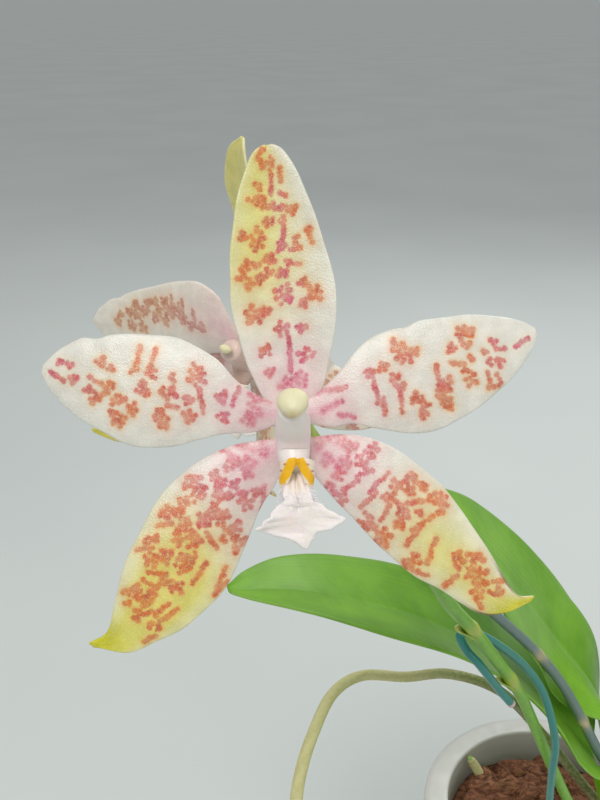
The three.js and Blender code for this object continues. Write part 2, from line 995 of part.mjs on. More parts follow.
function makePedicels() {
  return Object.entries(PEDICELS).map(([name, { flower, rest }]) => {
    const { face } = flowerFrame(flower);
    const seat = vector(COLUMN.stub.points[0]);
    const behind = (distance) =>
      face.localToWorld(new THREE.Vector3(seat.x, seat.y, seat.z - distance)).toArray();
    const points = [behind(GAP), behind(GAP + OVARY.straight), ...rest];
    return part(name, stalk({ ...OVARY, points }), FINISH.spike);
  });
}

// Whole plant

/** What stands in the bark, fattened a little, as the tools that cut its holes. */
function holeTools() {
  const standing = [
    STEM_STALK,
    { ...WIRE, points: WIRE.points.slice(0, 3) },
    ROOTS.root_into_bark,
    ROOTS.root_tip_at_rim,
  ];
  return standing.map((thing) => {
    const lowest = Math.min(...thing.points.map((point) => point[2]));
    const points = thing.points.map(([x, y, z]) => [x, y, z === lowest ? z - HOLE.deeper : z]);
    const radii = thing.radii.map(([where, radius]) => [where, radius + HOLE.wider]);
    return stalk({ ...thing, points, radii });
  });
}

const plant = new THREE.Group();
plant.add(
  makePot(),
  makeBarkMix(holeTools()),
  makeStem(),
  ...makeLeaves(),
  ...makeRoots(),
  makeSpike(),
  makeOldSpike(),
  makeWire(),
  ...makePedicels(),
  makeFlower("front", FRONT_FLOWER, FRONT_TEPALS, FINISH.petal),
  makeFlower("rear", REAR_FLOWER, REAR_TEPALS, FINISH.rearPetal),
);

export default plant;
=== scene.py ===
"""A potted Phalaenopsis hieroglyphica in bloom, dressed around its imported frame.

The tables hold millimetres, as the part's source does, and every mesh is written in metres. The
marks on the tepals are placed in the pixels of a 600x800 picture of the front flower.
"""

import logging
import math
from dataclasses import dataclass, field, replace
from enum import Enum
from typing import Callable, Sequence

import bmesh
import bpy
import numpy as np
from mathutils import Matrix, Vector


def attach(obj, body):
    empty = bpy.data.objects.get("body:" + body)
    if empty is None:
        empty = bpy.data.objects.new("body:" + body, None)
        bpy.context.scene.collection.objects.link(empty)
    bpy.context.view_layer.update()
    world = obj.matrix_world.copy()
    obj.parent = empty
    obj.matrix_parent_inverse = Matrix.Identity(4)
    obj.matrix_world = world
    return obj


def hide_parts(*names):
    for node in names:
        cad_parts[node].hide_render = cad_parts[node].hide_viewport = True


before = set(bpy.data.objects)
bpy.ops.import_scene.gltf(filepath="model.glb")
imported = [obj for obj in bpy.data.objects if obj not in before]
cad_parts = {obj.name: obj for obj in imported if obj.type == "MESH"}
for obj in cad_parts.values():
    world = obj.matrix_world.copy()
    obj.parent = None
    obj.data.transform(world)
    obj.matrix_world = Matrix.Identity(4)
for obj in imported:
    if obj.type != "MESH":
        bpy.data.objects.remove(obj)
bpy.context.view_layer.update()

LOG = logging.getLogger("orchid")
MM = 0.001
BODY = "root"
GOLDEN_ANGLE = math.pi * (3 - math.sqrt(5))
STALK_END = 0.35  # how far a stalk's rounded end stands out, as a share of its radius

Colour = tuple[float, float, float]
Stations = Sequence[Sequence[float]]
Surface = Callable[[np.ndarray, np.ndarray], np.ndarray]


# Curves and surfaces


def along(stations: Stations, where: np.ndarray, column: int = 1) -> np.ndarray:
    """Reads a smooth value between stations.

    Args:
        stations: rows of [where, value, ...], in rising order.
        where: the places to read.
        column: which value of a row to read.

    Returns:
        The value at each place.
    """
    table = np.asarray(stations, float)
    places, values = table[:, 0], table[:, column]
    where = np.asarray(where, float)
    i = np.clip(np.searchsorted(places, where, side="left") - 1, 0, len(places) - 2)
    before, after = np.maximum(i - 1, 0), np.minimum(i + 2, len(places) - 1)
    span = places[i + 1] - places[i]
    t = np.clip((where - places[i]) / span, 0, 1)
    m0 = (values[i + 1] - values[before]) / (places[i + 1] - places[before]) * span
    m1 = (values[after] - values[i]) / (places[after] - places[i]) * span
    t2, t3 = t * t, t * t * t
    start = (2 * t3 - 3 * t2 + 1) * values[i] + (t3 - 2 * t2 + t) * m0
    return start + (3 * t2 - 2 * t3) * values[i + 1] + (t3 - t2) * m1


def route(points: Stations, where: np.ndarray) -> tuple[np.ndarray, np.ndarray]:
    """Follows a smooth curve through points.

    Args:
        points: the points of the curve.
        where: places from 0 to 1 along it.

    Returns:
        The position and the unit heading at each place.
    """
    p = np.asarray(points, float)
    p = np.vstack([2 * p[0] - p[1], p, 2 * p[-1] - p[-2]])
    s = np.clip(np.asarray(where, float), 0, 1) * (len(p) - 3)
    i = np.minimum(s.astype(int), len(p) - 4)
    w = (s - i)[..., None]
    a, b, c, d = p[i], p[i + 1], p[i + 2], p[i + 3]
    v0, v1 = (c - a) / 2, (d - b) / 2
    cubic, square = 2 * b - 2 * c + v0 + v1, 3 * c - 3 * b - 2 * v0 - v1
    place = cubic * w**3 + square * w**2 + v0 * w + b
    heading = 3 * cubic * w**2 + 2 * square * w + v0
    return place, unit(heading)


def unit(vectors: np.ndarray) -> np.ndarray:
    """Scales each vector to a length of one."""
    return vectors / np.maximum(np.linalg.norm(vectors, axis=-1, keepdims=True), 1e-9)


def turned_about(vectors: np.ndarray, axes: np.ndarray, angles: np.ndarray) -> np.ndarray:
    """Turns each vector about its axis by its angle, in radians.

    Args:
        vectors: the vectors to turn.
        axes: a unit axis for each.
        angles: an angle for each, in radians.

    Returns:
        The turned vectors.
    """
    cosine, sine = np.cos(angles)[..., None], np.sin(angles)[..., None]
    dots = np.sum(vectors * axes, axis=-1, keepdims=True)
    return vectors * cosine + np.cross(axes, vectors) * sine + axes * dots * (1 - cosine)


def smooth(low: float, high: float, value: np.ndarray) -> np.ndarray:
    """Rises smoothly from 0 at low to 1 at high."""
    t = np.clip((value - low) / (high - low), 0, 1)
    return t * t * (3 - 2 * t)


def bell(value: np.ndarray, centre: float, width: float) -> np.ndarray:
    """A smooth hump of height 1 round a centre."""
    return np.exp(-(((value - centre) / width) ** 2))


def layered(count: int, base: Colour, *layers: tuple[Colour, np.ndarray]) -> np.ndarray:
    """Lays colours over a base.

    Args:
        count: how many points there are.
        base: the colour under the layers.
        layers: a colour and its amount from 0 to 1 at each point, from the lowest layer up.

    Returns:
        A colour for each point.
    """
    colours = np.ones((count, 3)) * base
    for colour, amount in layers:
        colours = colours + (np.asarray(colour) - colours) * np.clip(amount, 0, 1)[..., None]
    return colours


# Meshes


def linked(name: str, data: bpy.types.ID) -> bpy.types.Object:
    """Makes an object of its data and links it to the scene.

    Args:
        name: the object's name.
        data: its mesh, curve, camera or light.

    Returns:
        The new object.
    """
    item = bpy.data.objects.new(name, data)
    bpy.context.scene.collection.objects.link(item)
    return item


def evaluated(item: bpy.types.Object, name: str) -> bpy.types.Object:
    """Swaps an object for a plain mesh of what its modifiers make.

    Args:
        item: the object with its modifiers; it is removed.
        name: the new object's name.

    Returns:
        The new object.
    """
    graph = bpy.context.evaluated_depsgraph_get()
    mesh = bpy.data.meshes.new_from_object(item.evaluated_get(graph), depsgraph=graph)
    mesh.name = name
    bpy.data.objects.remove(item)
    return linked(name, mesh)


def mesh_object(name: str, points: np.ndarray, faces: Sequence[Sequence[int]]) -> bpy.types.Object:
    """Makes a smooth-shaded object.

    Args:
        name: the object's name.
        points: one row of x, y, z for each point, in millimetres.
        faces: the corners of each face, anticlockwise from outside.

    Returns:
        The new object.
    """
    mesh = bpy.data.meshes.new(name)
    mesh.from_pydata((np.asarray(points) * MM).tolist(), [], [list(face) for face in faces])
    mesh.shade_smooth()
    mesh.update()
    return linked(name, mesh)


def band(first: int, rings: int, sides: int, flip: bool = False) -> list[tuple[int, ...]]:
    """Joins rings of points, stored one ring after another, with four-sided faces.

    Args:
        first: the number of the first ring's first point.
        rings: how many rings there are.
        sides: how many points a ring has.
        flip: whether the faces look the other way.

    Returns:
        The faces.
    """
    faces = []
    for start in range(first, first + (rings - 1) * sides, sides):
        for k in range(sides):
            a, b = start + k, start + (k + 1) % sides
            faces.append((a, a + sides, b + sides, b) if flip else (a, b, b + sides, a + sides))
    return faces


def fan(tip: int, first: int, sides: int, flip: bool = False) -> list[tuple[int, ...]]:
    """Joins one point to a ring with triangles; flip turns them the other way.

    Args:
        tip: the number of the one point.
        first: the number of the ring's first point.
        sides: how many points the ring has.
        flip: whether the faces look the other way.

    Returns:
        The faces.
    """
    ring = [(first + k, first + (k + 1) % sides) for k in range(sides)]
    return [(tip, b, a) if flip else (tip, a, b) for a, b in ring]


def paint(item: bpy.types.Object, name: str, values: np.ndarray) -> None:
    """Stores a colour or a value for each point of a mesh.

    Args:
        item: the mesh object.
        name: the attribute's name.
        values: one value for each point, or rows of three or four.
    """
    if values.ndim == 1:
        values = np.repeat(values[:, None], 3, axis=1)
    rows = np.ones((len(values), 4), np.float32)
    rows[:, : values.shape[1]] = values
    layer = item.data.attributes.new(name, "FLOAT_COLOR", "POINT")
    layer.data.foreach_set("color", rows.ravel())


@dataclass
class Sheet:
    """A closed thin sheet over a surface, with points kept by row and column on both faces."""

    surface: Surface
    rows: int
    columns: int
    thickness: float
    edge: float = 0.25
    roundness: float = 6.0
    u: np.ndarray = field(init=False)
    v: np.ndarray = field(init=False)
    back: np.ndarray = field(init=False)

    def build(self, name: str) -> bpy.types.Object:
        """Makes the sheet's mesh.

        Args:
            name: the object's name.

        Returns:
            The object, whose points are the front's, row by row, and then the back's.
        """
        turn = np.linspace(0, math.pi, self.rows + 1)
        rows = 0.55 * np.linspace(0, 1, self.rows + 1) + 0.45 * (1 - np.cos(turn)) / 2
        across = np.linspace(-1, 1, self.columns + 1)
        across = 0.7 * across + 0.3 * np.sin(across * math.pi / 2)
        u, v = (grid.ravel() for grid in np.meshgrid(rows, across, indexing="ij"))
        middle = self.surface(u, v)
        step = 1e-3
        ahead = self.surface(np.minimum(u + step, 1), v) - self.surface(np.maximum(u - step, 0), v)
        aside = self.surface(u, np.minimum(v + step, 1)) - self.surface(u, np.maximum(v - step, -1))
        normal = unit(np.cross(aside, ahead))
        taper = (1 - np.abs(v) ** self.roundness) * (1 - np.abs(2 * u - 1) ** (4 * self.roundness))
        half = 0.5 * self.thickness * (self.edge + (1 - self.edge) * np.sqrt(np.maximum(taper, 0)))
        points = np.vstack([middle + normal * half[:, None], middle - normal * half[:, None]])
        self.u, self.v = np.tile(u, 2), np.tile(v, 2)
        self.back = np.repeat([0.0, 1.0], len(u))
        size, under = self.columns + 1, len(u)
        a = (np.arange(self.rows)[:, None] * size + np.arange(self.columns)).ravel()
        front = np.stack([a, a + 1, a + size + 1, a + size], axis=1)
        behind = under + front[:, ::-1]
        last = self.rows * size
        edge = [*range(self.columns), *range(self.columns, last + self.columns, size)]
        edge += [*range(last + self.columns, last, -1), *range(last, 0, -size)]
        ring = [(edge[k], under + edge[k], under + edge[k - len(edge) + 1], edge[k - len(edge) + 1])
                for k in range(len(edge))]
        return mesh_object(name, points, [*front.tolist(), *behind.tolist(), *ring])


class Geometry:
    """A geometry node tree built in the script, with named inputs for its sizes."""

    def __init__(self, name: str) -> None:
        """Starts a tree with one geometry going in and one coming out.

        Args:
            name: the tree's name.
        """
        self.tree = bpy.data.node_groups.new(name, "GeometryNodeTree")
        self.tree.interface.new_socket("Geometry", in_out="INPUT", socket_type="NodeSocketGeometry")
        self.tree.interface.new_socket("Geometry", in_out="OUTPUT", socket_type="NodeSocketGeometry")
        self.entry = self.tree.nodes.new("NodeGroupInput")
        self.exit = self.tree.nodes.new("NodeGroupOutput")

    def size(self, name: str, kind: str = "NodeSocketFloat") -> bpy.types.NodeSocket:
        """Adds a named input and returns its socket.

        Args:
            name: the input's name.
            kind: its socket type.

        Returns:
            The socket inside the tree.
        """
        self.tree.interface.new_socket(name, in_out="INPUT", socket_type=kind)
        return self.entry.outputs[name]

    def node(self, kind: str, *inputs: object, out: int = 0, **settings: object) -> bpy.types.NodeSocket:
        """Adds a node.

        Args:
            kind: the node's type.
            inputs: a socket, a value or None for each input in turn, or (index, value) pairs.
            out: which output to return.
            settings: the node's own properties.

        Returns:
            The output socket.
        """
        item = self.tree.nodes.new(kind)
        for key, value in settings.items():
            setattr(item, key, value)
        for index, value in enumerate(inputs):
            if isinstance(value, tuple) and len(value) == 2 and isinstance(value[0], int):
                index, value = value
            if isinstance(value, bpy.types.NodeSocket):
                self.tree.links.new(value, item.inputs[index])
            elif value is not None:
                item.inputs[index].default_value = value
        return item.outputs[out]

    def finish(self, geometry: bpy.types.NodeSocket, material: bpy.types.Material | None) -> None:
        """Ends the tree in real geometry with its material.

        Args:
            geometry: the socket to end on.
            material: the material, or None for no change.
        """
        real = self.node("GeometryNodeRealizeInstances", geometry)
        dressed = self.node("GeometryNodeSetMaterial", real, (2, material))
        self.tree.links.new(dressed, self.exit.inputs[0])

    def apply(self, item: bpy.types.Object, name: str, **sizes: float) -> bpy.types.Object:
        """Runs the tree on an object and keeps the result as a plain mesh.

        Args:
            item: the object whose geometry goes in; it is removed.
            name: the new object's name.
            sizes: a value for each named input.

        Returns:
            The new object.
        """
        modifier = item.modifiers.new("tree", "NODES")
        modifier.node_group = self.tree
        for socket in self.tree.interface.items_tree:
            if socket.item_type == "SOCKET" and socket.in_out == "INPUT" and socket.name in sizes:
                modifier[socket.identifier] = sizes[socket.name]
        return evaluated(item, name)


def tube(name: str, lines: Sequence[tuple[np.ndarray, np.ndarray]], sides: int) -> bpy.types.Object:
    """Sweeps a circle along lines with a geometry node tree.

    Args:
        name: the object's name.
        lines: the points of each line and the radius at each point, in millimetres.
        sides: how many sides the circle has.

    Returns:
        The closed, smooth object, whose points run ring by ring along each line.
    """
    curve = bpy.data.curves.new(f"{name}_line", "CURVE")
    curve.dimensions = "3D"
    for points, radii in lines:
        spline = curve.splines.new("POLY")
        spline.points.add(len(points) - 1)
        spline.points.foreach_set("co", np.column_stack([points * MM, np.ones(len(points))]).ravel())
        spline.points.foreach_set("radius", np.asarray(radii, float) * MM)
    item = linked(curve.name, curve)
    tree = Geometry(f"{name}_tube")
    count, width = tree.size("Sides", "NodeSocketInt"), tree.size("Width")
    ring = tree.node("GeometryNodeCurvePrimitiveCircle", count, (4, 1.0))
    scale = tree.node("ShaderNodeMath", tree.node("GeometryNodeInputRadius"), width, operation="MULTIPLY")
    swept = tree.node("GeometryNodeCurveToMesh", tree.entry.outputs[0], ring, scale, True)
    tree.finish(swept, None)
    result = tree.apply(item, name, Sides=sides, Width=1.0)
    form = bmesh.new()
    form.from_mesh(result.data)
    if form.calc_volume(signed=True) < 0:
        bmesh.ops.reverse_faces(form, faces=form.faces)
        form.to_mesh(result.data)
    form.free()
    result.data.shade_smooth()
    return result


def stalk(
    name: str, points: Stations, radii: Stations, steps: int, sides: int = 20
) -> tuple[bpy.types.Object, np.ndarray, np.ndarray]:
    """Makes a round stalk along a route, with rounded ends.

    Args:
        name: the object's name.
        points: the route's points.
        radii: rows of [where, radius], from 0 to 1.
        steps: how many rings.
        sides: how many sides.

    Returns:
        The object, and for each of its points how far along it is and its angle round it.
    """
    ends = 5
    t = np.concatenate([np.zeros(ends), np.linspace(0, 1, steps + 1), np.ones(ends)])
    place, heading = route(points, t)
    radius = along(radii, t)
    turn = np.linspace(0, math.pi / 2, ends + 1)[:-1]
    cap = np.concatenate([turn, np.full(steps + 1, math.pi / 2), turn[::-1]])
    bulge = STALK_END * np.cos(cap) * np.where(np.arange(len(t)) <= ends + steps // 2, -1, 1)
    place = place + heading * (radius * bulge)[:, None]
    radius = radius * np.maximum(np.sin(cap), 0.02)
    item = tube(name, [(place, radius)], sides)
    angle = np.linspace(0, 2 * math.pi, sides, endpoint=False)
    return item, np.repeat(t, sides), np.tile(angle, len(t))


def dress(item: bpy.types.Object, material: bpy.types.Material, slot: str, *nodes: str) -> None:
    """Gives a finished piece its material and body, and hides the nodes it stands for.

    Args:
        item: the piece.
        material: its material.
        slot: not used.
        nodes: the CAD nodes it replaces.
    """
    item.data.materials.clear()
    item.data.materials.append(material)
    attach(item, BODY)
    if nodes:
        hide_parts(*nodes)
    LOG.info("%s: %d faces for %s", item.name, len(item.data.polygons), ", ".join(nodes) or "no node")


# Finishes


class Shader:
    """A material's node tree, with short calls for the nodes that the finishes use."""

    def __init__(self, name: str) -> None:
        """Starts a material with one principled shader.

        Args:
            name: the material's name.
        """
        self.material = bpy.data.materials.new(name)
        self.material.use_nodes = True
        self.tree = self.material.node_tree
        self.surface = self.tree.nodes["Principled BSDF"]
        self.space = self.tree.nodes.new("ShaderNodeTexCoord").outputs["Object"]

    def put(self, socket: bpy.types.NodeSocket, value: object) -> None:
        """Links or sets one input."""
        if isinstance(value, bpy.types.NodeSocket):
            self.tree.links.new(value, socket)
        elif value is not None:
            socket.default_value = value

    def node(
        self, kind: str, out: object = 0, settings: dict | None = None, **inputs: object
    ) -> bpy.types.NodeSocket:
        """Adds a node by its type, sets its inputs by name and returns one output.

        Args:
            kind: the node's type.
            out: the output to return, by number or name.
            settings: the node's own properties.
            inputs: a socket or value for each input, by name or as i and its number.

        Returns:
            The output socket.
        """
        item = self.tree.nodes.new(kind)
        for key, value in (settings or {}).items():
            setattr(item, key, value)
        for key, value in inputs.items():
            self.put(item.inputs[int(key[1:]) if key[0] == "i" and key[1:].isdigit() else key], value)
        return item.outputs[out]

    def attribute(self, name: str, out: str = "Color") -> bpy.types.NodeSocket:
        """Reads a colour or value stored on the mesh.

        Args:
            name: the attribute's name.
            out: the output to return.

        Returns:
            The output socket.
        """
        item = self.tree.nodes.new("ShaderNodeAttribute")
        item.attribute_name = name
        return item.outputs[out]

    def noise(self, scale: float, detail: float = 3, space: object = None) -> bpy.types.NodeSocket:
        """Soft noise with a scale in features for each metre."""
        inputs = {"Vector": space or self.space, "Scale": scale, "Detail": detail}
        return self.node("ShaderNodeTexNoise", "Fac", None, **inputs)

    def cells(self, scale: float) -> bpy.types.NodeSocket:
        """Small cells, as of a waxy skin."""
        return self.node("ShaderNodeTexVoronoi", "Distance", None, Vector=self.space, Scale=scale)

    def math(self, kind: str, a: object, b: object, c: object = None) -> bpy.types.NodeSocket:
        """One sum of two or three values."""
        return self.node("ShaderNodeMath", 0, {"operation": kind}, i0=a, i1=b, i2=c)

    def ramp(
        self, value: object, low: float, high: float, bottom: object = 0.0, top: object = 1.0
    ) -> bpy.types.NodeSocket:
        """Maps a value smoothly from one range to another."""
        settings = {"interpolation_type": "SMOOTHSTEP"}
        return self.node("ShaderNodeMapRange", 0, settings, i0=value, i1=low, i2=high, i3=bottom, i4=top)

    def mix(self, amount: object, a: object, b: object, kind: str = "MIX") -> bpy.types.NodeSocket:
        """Mixes two colours.

        Args:
            amount: how much of the second colour.
            a: the first colour.
            b: the second colour.
            kind: how they mix.

        Returns:
            The mixed colour's socket.
        """
        settings = {"data_type": "RGBA", "blend_type": kind}
        wide = [(*tone, 1) if isinstance(tone, tuple) and len(tone) == 3 else tone for tone in (a, b)]
        return self.node("ShaderNodeMix", 2, settings, i0=amount, i6=wide[0], i7=wide[1])

    def bump(
        self, height: object, strength: float, distance: float, normal: object = None
    ) -> bpy.types.NodeSocket:
        """Raises the surface by a height, in metres at full height."""
        return self.node("ShaderNodeBump", 0, None, Strength=strength, Distance=distance,
                         Height=height, Normal=normal)

    def finish(self, colour: object, normal: object = None, **values: object) -> bpy.types.Material:
        """Sets the shader's inputs.

        Args:
            colour: the base colour's socket or value.
            normal: the bumped normal.
            values: the rest, with an underscore for each space.

        Returns:
            The material.
        """
        self.put(self.surface.inputs["Base Color"], colour)
        self.put(self.surface.inputs["Normal"], normal)
        for key, value in values.items():
            self.put(self.surface.inputs[key.replace("_", " ")], value)
        return self.material


@dataclass(frozen=True)
class TepalFinish:
    """Waxy petal skin: a painted ground, broken bars of colour and a crystalline sparkle: bumped cells, with
    painted highlights on them.
    """

    name: str
    bar: Colour = (0.62, 0.115, 0.012)
    magenta: Colour = (0.58, 0.02, 0.12)
    heart: Colour = (0.5, 0.07, 0.015)
    strength: float = 0.9
    maroon: Colour = (0.4, 0.025, 0.03)
    milk: Colour = (0.97, 0.95, 0.9)
    # The near-white of the sparkle: a painted highlight.
    painted_glint: Colour = (1.0, 1.0, 0.98)
    cell_scale: float = 3800.0
    roughness: float = 0.36

    def build(self) -> bpy.types.Material:
        """Makes the material, which reads the ground and the marks stored on the mesh.

        Returns:
            The material.
        """
        s = Shader(self.name)
        ground, marks = s.attribute("ground"), s.attribute("marks")
        split = s.tree.nodes.new("ShaderNodeSeparateColor")
        s.put(split.inputs[0], marks)
        distance, hue, soft = split.outputs
        strength = s.attribute("marks", "Alpha")
        ragged = s.math("MULTIPLY_ADD", s.noise(2600, 2), 0.5, -0.25)
        distance = s.math("MULTIPLY_ADD", distance, 2.0, s.math("SUBTRACT", ragged, 1.0))
        edge = s.math("MULTIPLY_ADD", soft, 0.5, 0.1)
        low = s.math("MULTIPLY", edge, -1.0)
        inside = s.math("SUBTRACT", 1.0, s.ramp(distance, low, edge))
        grain = s.ramp(s.noise(1900, 3), 0.3, 0.62, 0.76, 1.0)
        strength = s.math("MULTIPLY", inside, strength)
        cover = s.math("MULTIPLY", strength, s.math("MULTIPLY", grain, self.strength))
        mark = s.mix(hue, self.bar, self.magenta)
        deep = s.ramp(distance, -0.55, -0.15, 0.55, 0.0)
        mark = s.mix(s.math("MULTIPLY", deep, s.math("SUBTRACT", 1.0, hue)), mark, self.heart)
        mark = s.mix(s.ramp(s.noise(750, 2), 0.46, 0.62, 0.0, 0.5), mark, self.maroon)
        cloud = s.ramp(s.noise(420, 3), 0.35, 0.7, 0.0, 0.35)
        colour = s.mix(cover, s.mix(cloud, ground, self.milk, "SOFT_LIGHT"), mark)
        sparkle = s.cells(self.cell_scale)
        # Painted highlight: the small cells lighten the colour towards white, as sparkling points of light.
        colour = s.mix(s.ramp(sparkle, 0.05, 0.4, 0.3, 0.0), colour, self.painted_glint)
        swell = s.bump(s.noise(300, 2), 0.25, 0.0006)
        normal = s.bump(sparkle, 0.4, 0.00014, s.bump(s.attribute("vein", "Fac"), 0.1, 0.0001, swell))
        return s.finish(
            colour, normal, Roughness=self.roughness, Specular_IOR_Level=0.55, Subsurface_Weight=0.28,
            Subsurface_Radius=(0.9, 0.6, 0.5), Subsurface_Scale=0.0012, Coat_Weight=0.12, Coat_Roughness=0.22,
            Sheen_Weight=0.06, Sheen_Roughness=0.4,
        )


@dataclass(frozen=True)
class TissueFinish:
    """Living or dry tissue whose colour is painted by rule, with a grain and a bump."""

    name: str
    grain_scale: float = 900.0
    grain: float = 0.25
    grain_colour: Colour = (0.25, 0.3, 0.1)
    bump_scale: float = 1500.0
    bump: float = 0.25
    bump_depth: float = 0.0002
    roughness: float = 0.45
    specular: float = 0.5
    subsurface: float = 0.12
    coat: float = 0.0
    metallic: float = 0.0

    def build(self) -> bpy.types.Material:
        """Makes the material, which reads the tone stored on the mesh.

        Returns:
            The material.
        """
        s = Shader(self.name)
        tone = s.attribute("tone")
        speck = s.ramp(s.noise(self.grain_scale, 4), 0.35, 0.7, 0.0, self.grain)
        colour = s.mix(speck, tone, self.grain_colour)
        normal = s.bump(s.noise(self.bump_scale, 4), self.bump, self.bump_depth)
        return s.finish(
            colour, normal, Roughness=self.roughness, Specular_IOR_Level=self.specular,
            Subsurface_Weight=self.subsurface, Subsurface_Radius=(0.6, 0.8, 0.3), Subsurface_Scale=0.002,
            Coat_Weight=self.coat, Coat_Roughness=0.2, Metallic=self.metallic,
        )


@dataclass(frozen=True)
class LeafFinish:
    """Leaf skin: painted greens, soft pale spots of painted reflection, fine long veins and a waxy gloss."""

    name: str
    dark: Colour = (0.035, 0.16, 0.003)
    roughness: float = 0.36

    def build(self) -> bpy.types.Material:
        """Makes the material, which reads the tone and the lengthwise lines stored on the mesh.

        Returns:
            The material.
        """
        s = Shader(self.name)
        tone = s.attribute("tone")
        lines = s.attribute("vein", "Fac")
        cloud = s.ramp(s.noise(55, 4), 0.35, 0.7, 0.0, 0.3)
        colour = s.mix(cloud, tone, self.dark)
        # Soft pale spots: painted reflections of light on the waxy leaf.
        colour = s.mix(s.ramp(s.noise(260, 3), 0.45, 0.7, 0.0, 0.12), colour, (0.3, 0.6, 0.01))
        colour = s.mix(s.math("MULTIPLY", lines, 0.16), colour, (0.3, 0.6, 0.02))
        pores = s.bump(s.cells(3000), 0.12, 0.0001, s.bump(s.noise(140, 3), 0.25, 0.0009))
        normal = s.bump(lines, 0.2, 0.0002, pores)
        return s.finish(
            colour, normal, Roughness=self.roughness, Specular_IOR_Level=0.1, Subsurface_Weight=0.03,
            Subsurface_Radius=(0.4, 0.8, 0.2), Subsurface_Scale=0.002, Coat_Weight=0.06, Coat_Roughness=0.18,
        )


@dataclass(frozen=True)
class BarkFinish:
    """Fir bark: reddish-brown, layered and fibrous."""

    name: str
    pale: Colour = (0.42, 0.19, 0.1)
    deep: Colour = (0.09, 0.035, 0.02)

    def build(self) -> bpy.types.Material:
        """Makes the material.

        Returns:
            The material.
        """
        s = Shader(self.name)
        stretch = s.tree.nodes.new("ShaderNodeMapping")
        stretch.inputs["Scale"].default_value = (1.0, 2.6, 4.5)
        s.put(stretch.inputs["Vector"], s.space)
        fibre = s.noise(240, 8, stretch.outputs[0])
        broad = s.noise(75, 4)
        colour = s.mix(s.ramp(fibre, 0.3, 0.72), self.deep, self.pale)
        colour = s.mix(s.ramp(broad, 0.35, 0.65, 0.0, 0.55), colour, (0.2, 0.075, 0.04))
        colour = s.mix(s.ramp(s.noise(620, 5), 0.62, 0.75, 0.0, 0.5), colour, (0.6, 0.36, 0.22))
        normal = s.bump(fibre, 0.9, 0.0012, s.bump(s.noise(900, 6), 0.5, 0.0004))
        return s.finish(colour, normal, Roughness=0.85, Specular_IOR_Level=0.25)


@dataclass(frozen=True)
class PotFinish:
    """Pale grey-white moulded plastic, a little translucent, with darker, browner patches near its foot."""

    name: str
    base: Colour = (0.7, 0.69, 0.67)

    def build(self) -> bpy.types.Material:
        """Makes the material.

        Returns:
            The material.
        """
        s = Shader(self.name)
        colour = s.mix(s.ramp(s.noise(45, 4), 0.35, 0.7, 0.0, 0.35), self.base, (0.6, 0.6, 0.57))
        height = s.node("ShaderNodeSeparateXYZ", 2, None, Vector=s.space)
        # Darker, browner patches over the lowest 30 millimetres, strongest at the foot.
        foot_patches = s.math("MULTIPLY", s.ramp(height, 0.0, 0.03, 0.5, 0.0), s.ramp(s.noise(210, 5), 0.4, 0.7))
        colour = s.mix(foot_patches, colour, (0.4, 0.36, 0.28))
        scratches = s.noise(900, 3)
        normal = s.bump(scratches, 0.12, 0.0001, s.bump(s.noise(60, 2), 0.15, 0.0006))
        rough = s.ramp(s.noise(160, 4), 0.3, 0.7, 0.34, 0.5)
        return s.finish(colour, normal, Roughness=rough, Specular_IOR_Level=0.5, Subsurface_Weight=0.15,
                        Subsurface_Radius=(1.0, 1.0, 0.9), Subsurface_Scale=0.002)


@dataclass(frozen=True)
class FloorFinish:
    """Plain pale floor."""

    name: str = "pale_floor"

    def build(self) -> bpy.types.Material:
        """Makes the material.

        Returns:
            The material.
        """
        s = Shader(self.name)
        colour = s.mix(s.ramp(s.noise(3, 2), 0.3, 0.7, 0.0, 1.0), (0.6, 0.64, 0.635), (0.63, 0.67, 0.66))
        return s.finish(colour, Roughness=0.8, Specular_IOR_Level=0.2)


# Stage


@dataclass(frozen=True)
class Light:
    """One soft round light that looks at a target."""

    name: str
    place: tuple[float, float, float]
    target: tuple[float, float, float]
    size: float
    power: float
    colour: Colour

    def build(self) -> None:
        """Makes the light and turns it to its target."""
        lamp = bpy.data.lights.new(self.name, "AREA")
        lamp.shape = "DISK"
        lamp.size = self.size
        lamp.energy = self.power
        lamp.color = self.colour
        item = linked(self.name, lamp)
        item.location = self.place
        item.rotation_euler = (Vector(self.target) - Vector(self.place)).to_track_quat("-Z", "Y").to_euler()


LIGHTS = (
    Light("key", (-0.35, -0.75, 1.35), (-0.08, -0.1, 0.28), 0.5, 8.2, (1.0, 0.98, 0.95)),
    Light("fill", (0.75, -0.7, 0.7), (0.0, -0.08, 0.25), 0.8, 2.0, (1.0, 0.99, 0.98)),
    Light("back", (0.35, 0.8, 0.95), (0.0, 0.0, 0.22), 0.6, 4.5, (1.0, 1.0, 0.98)),
)


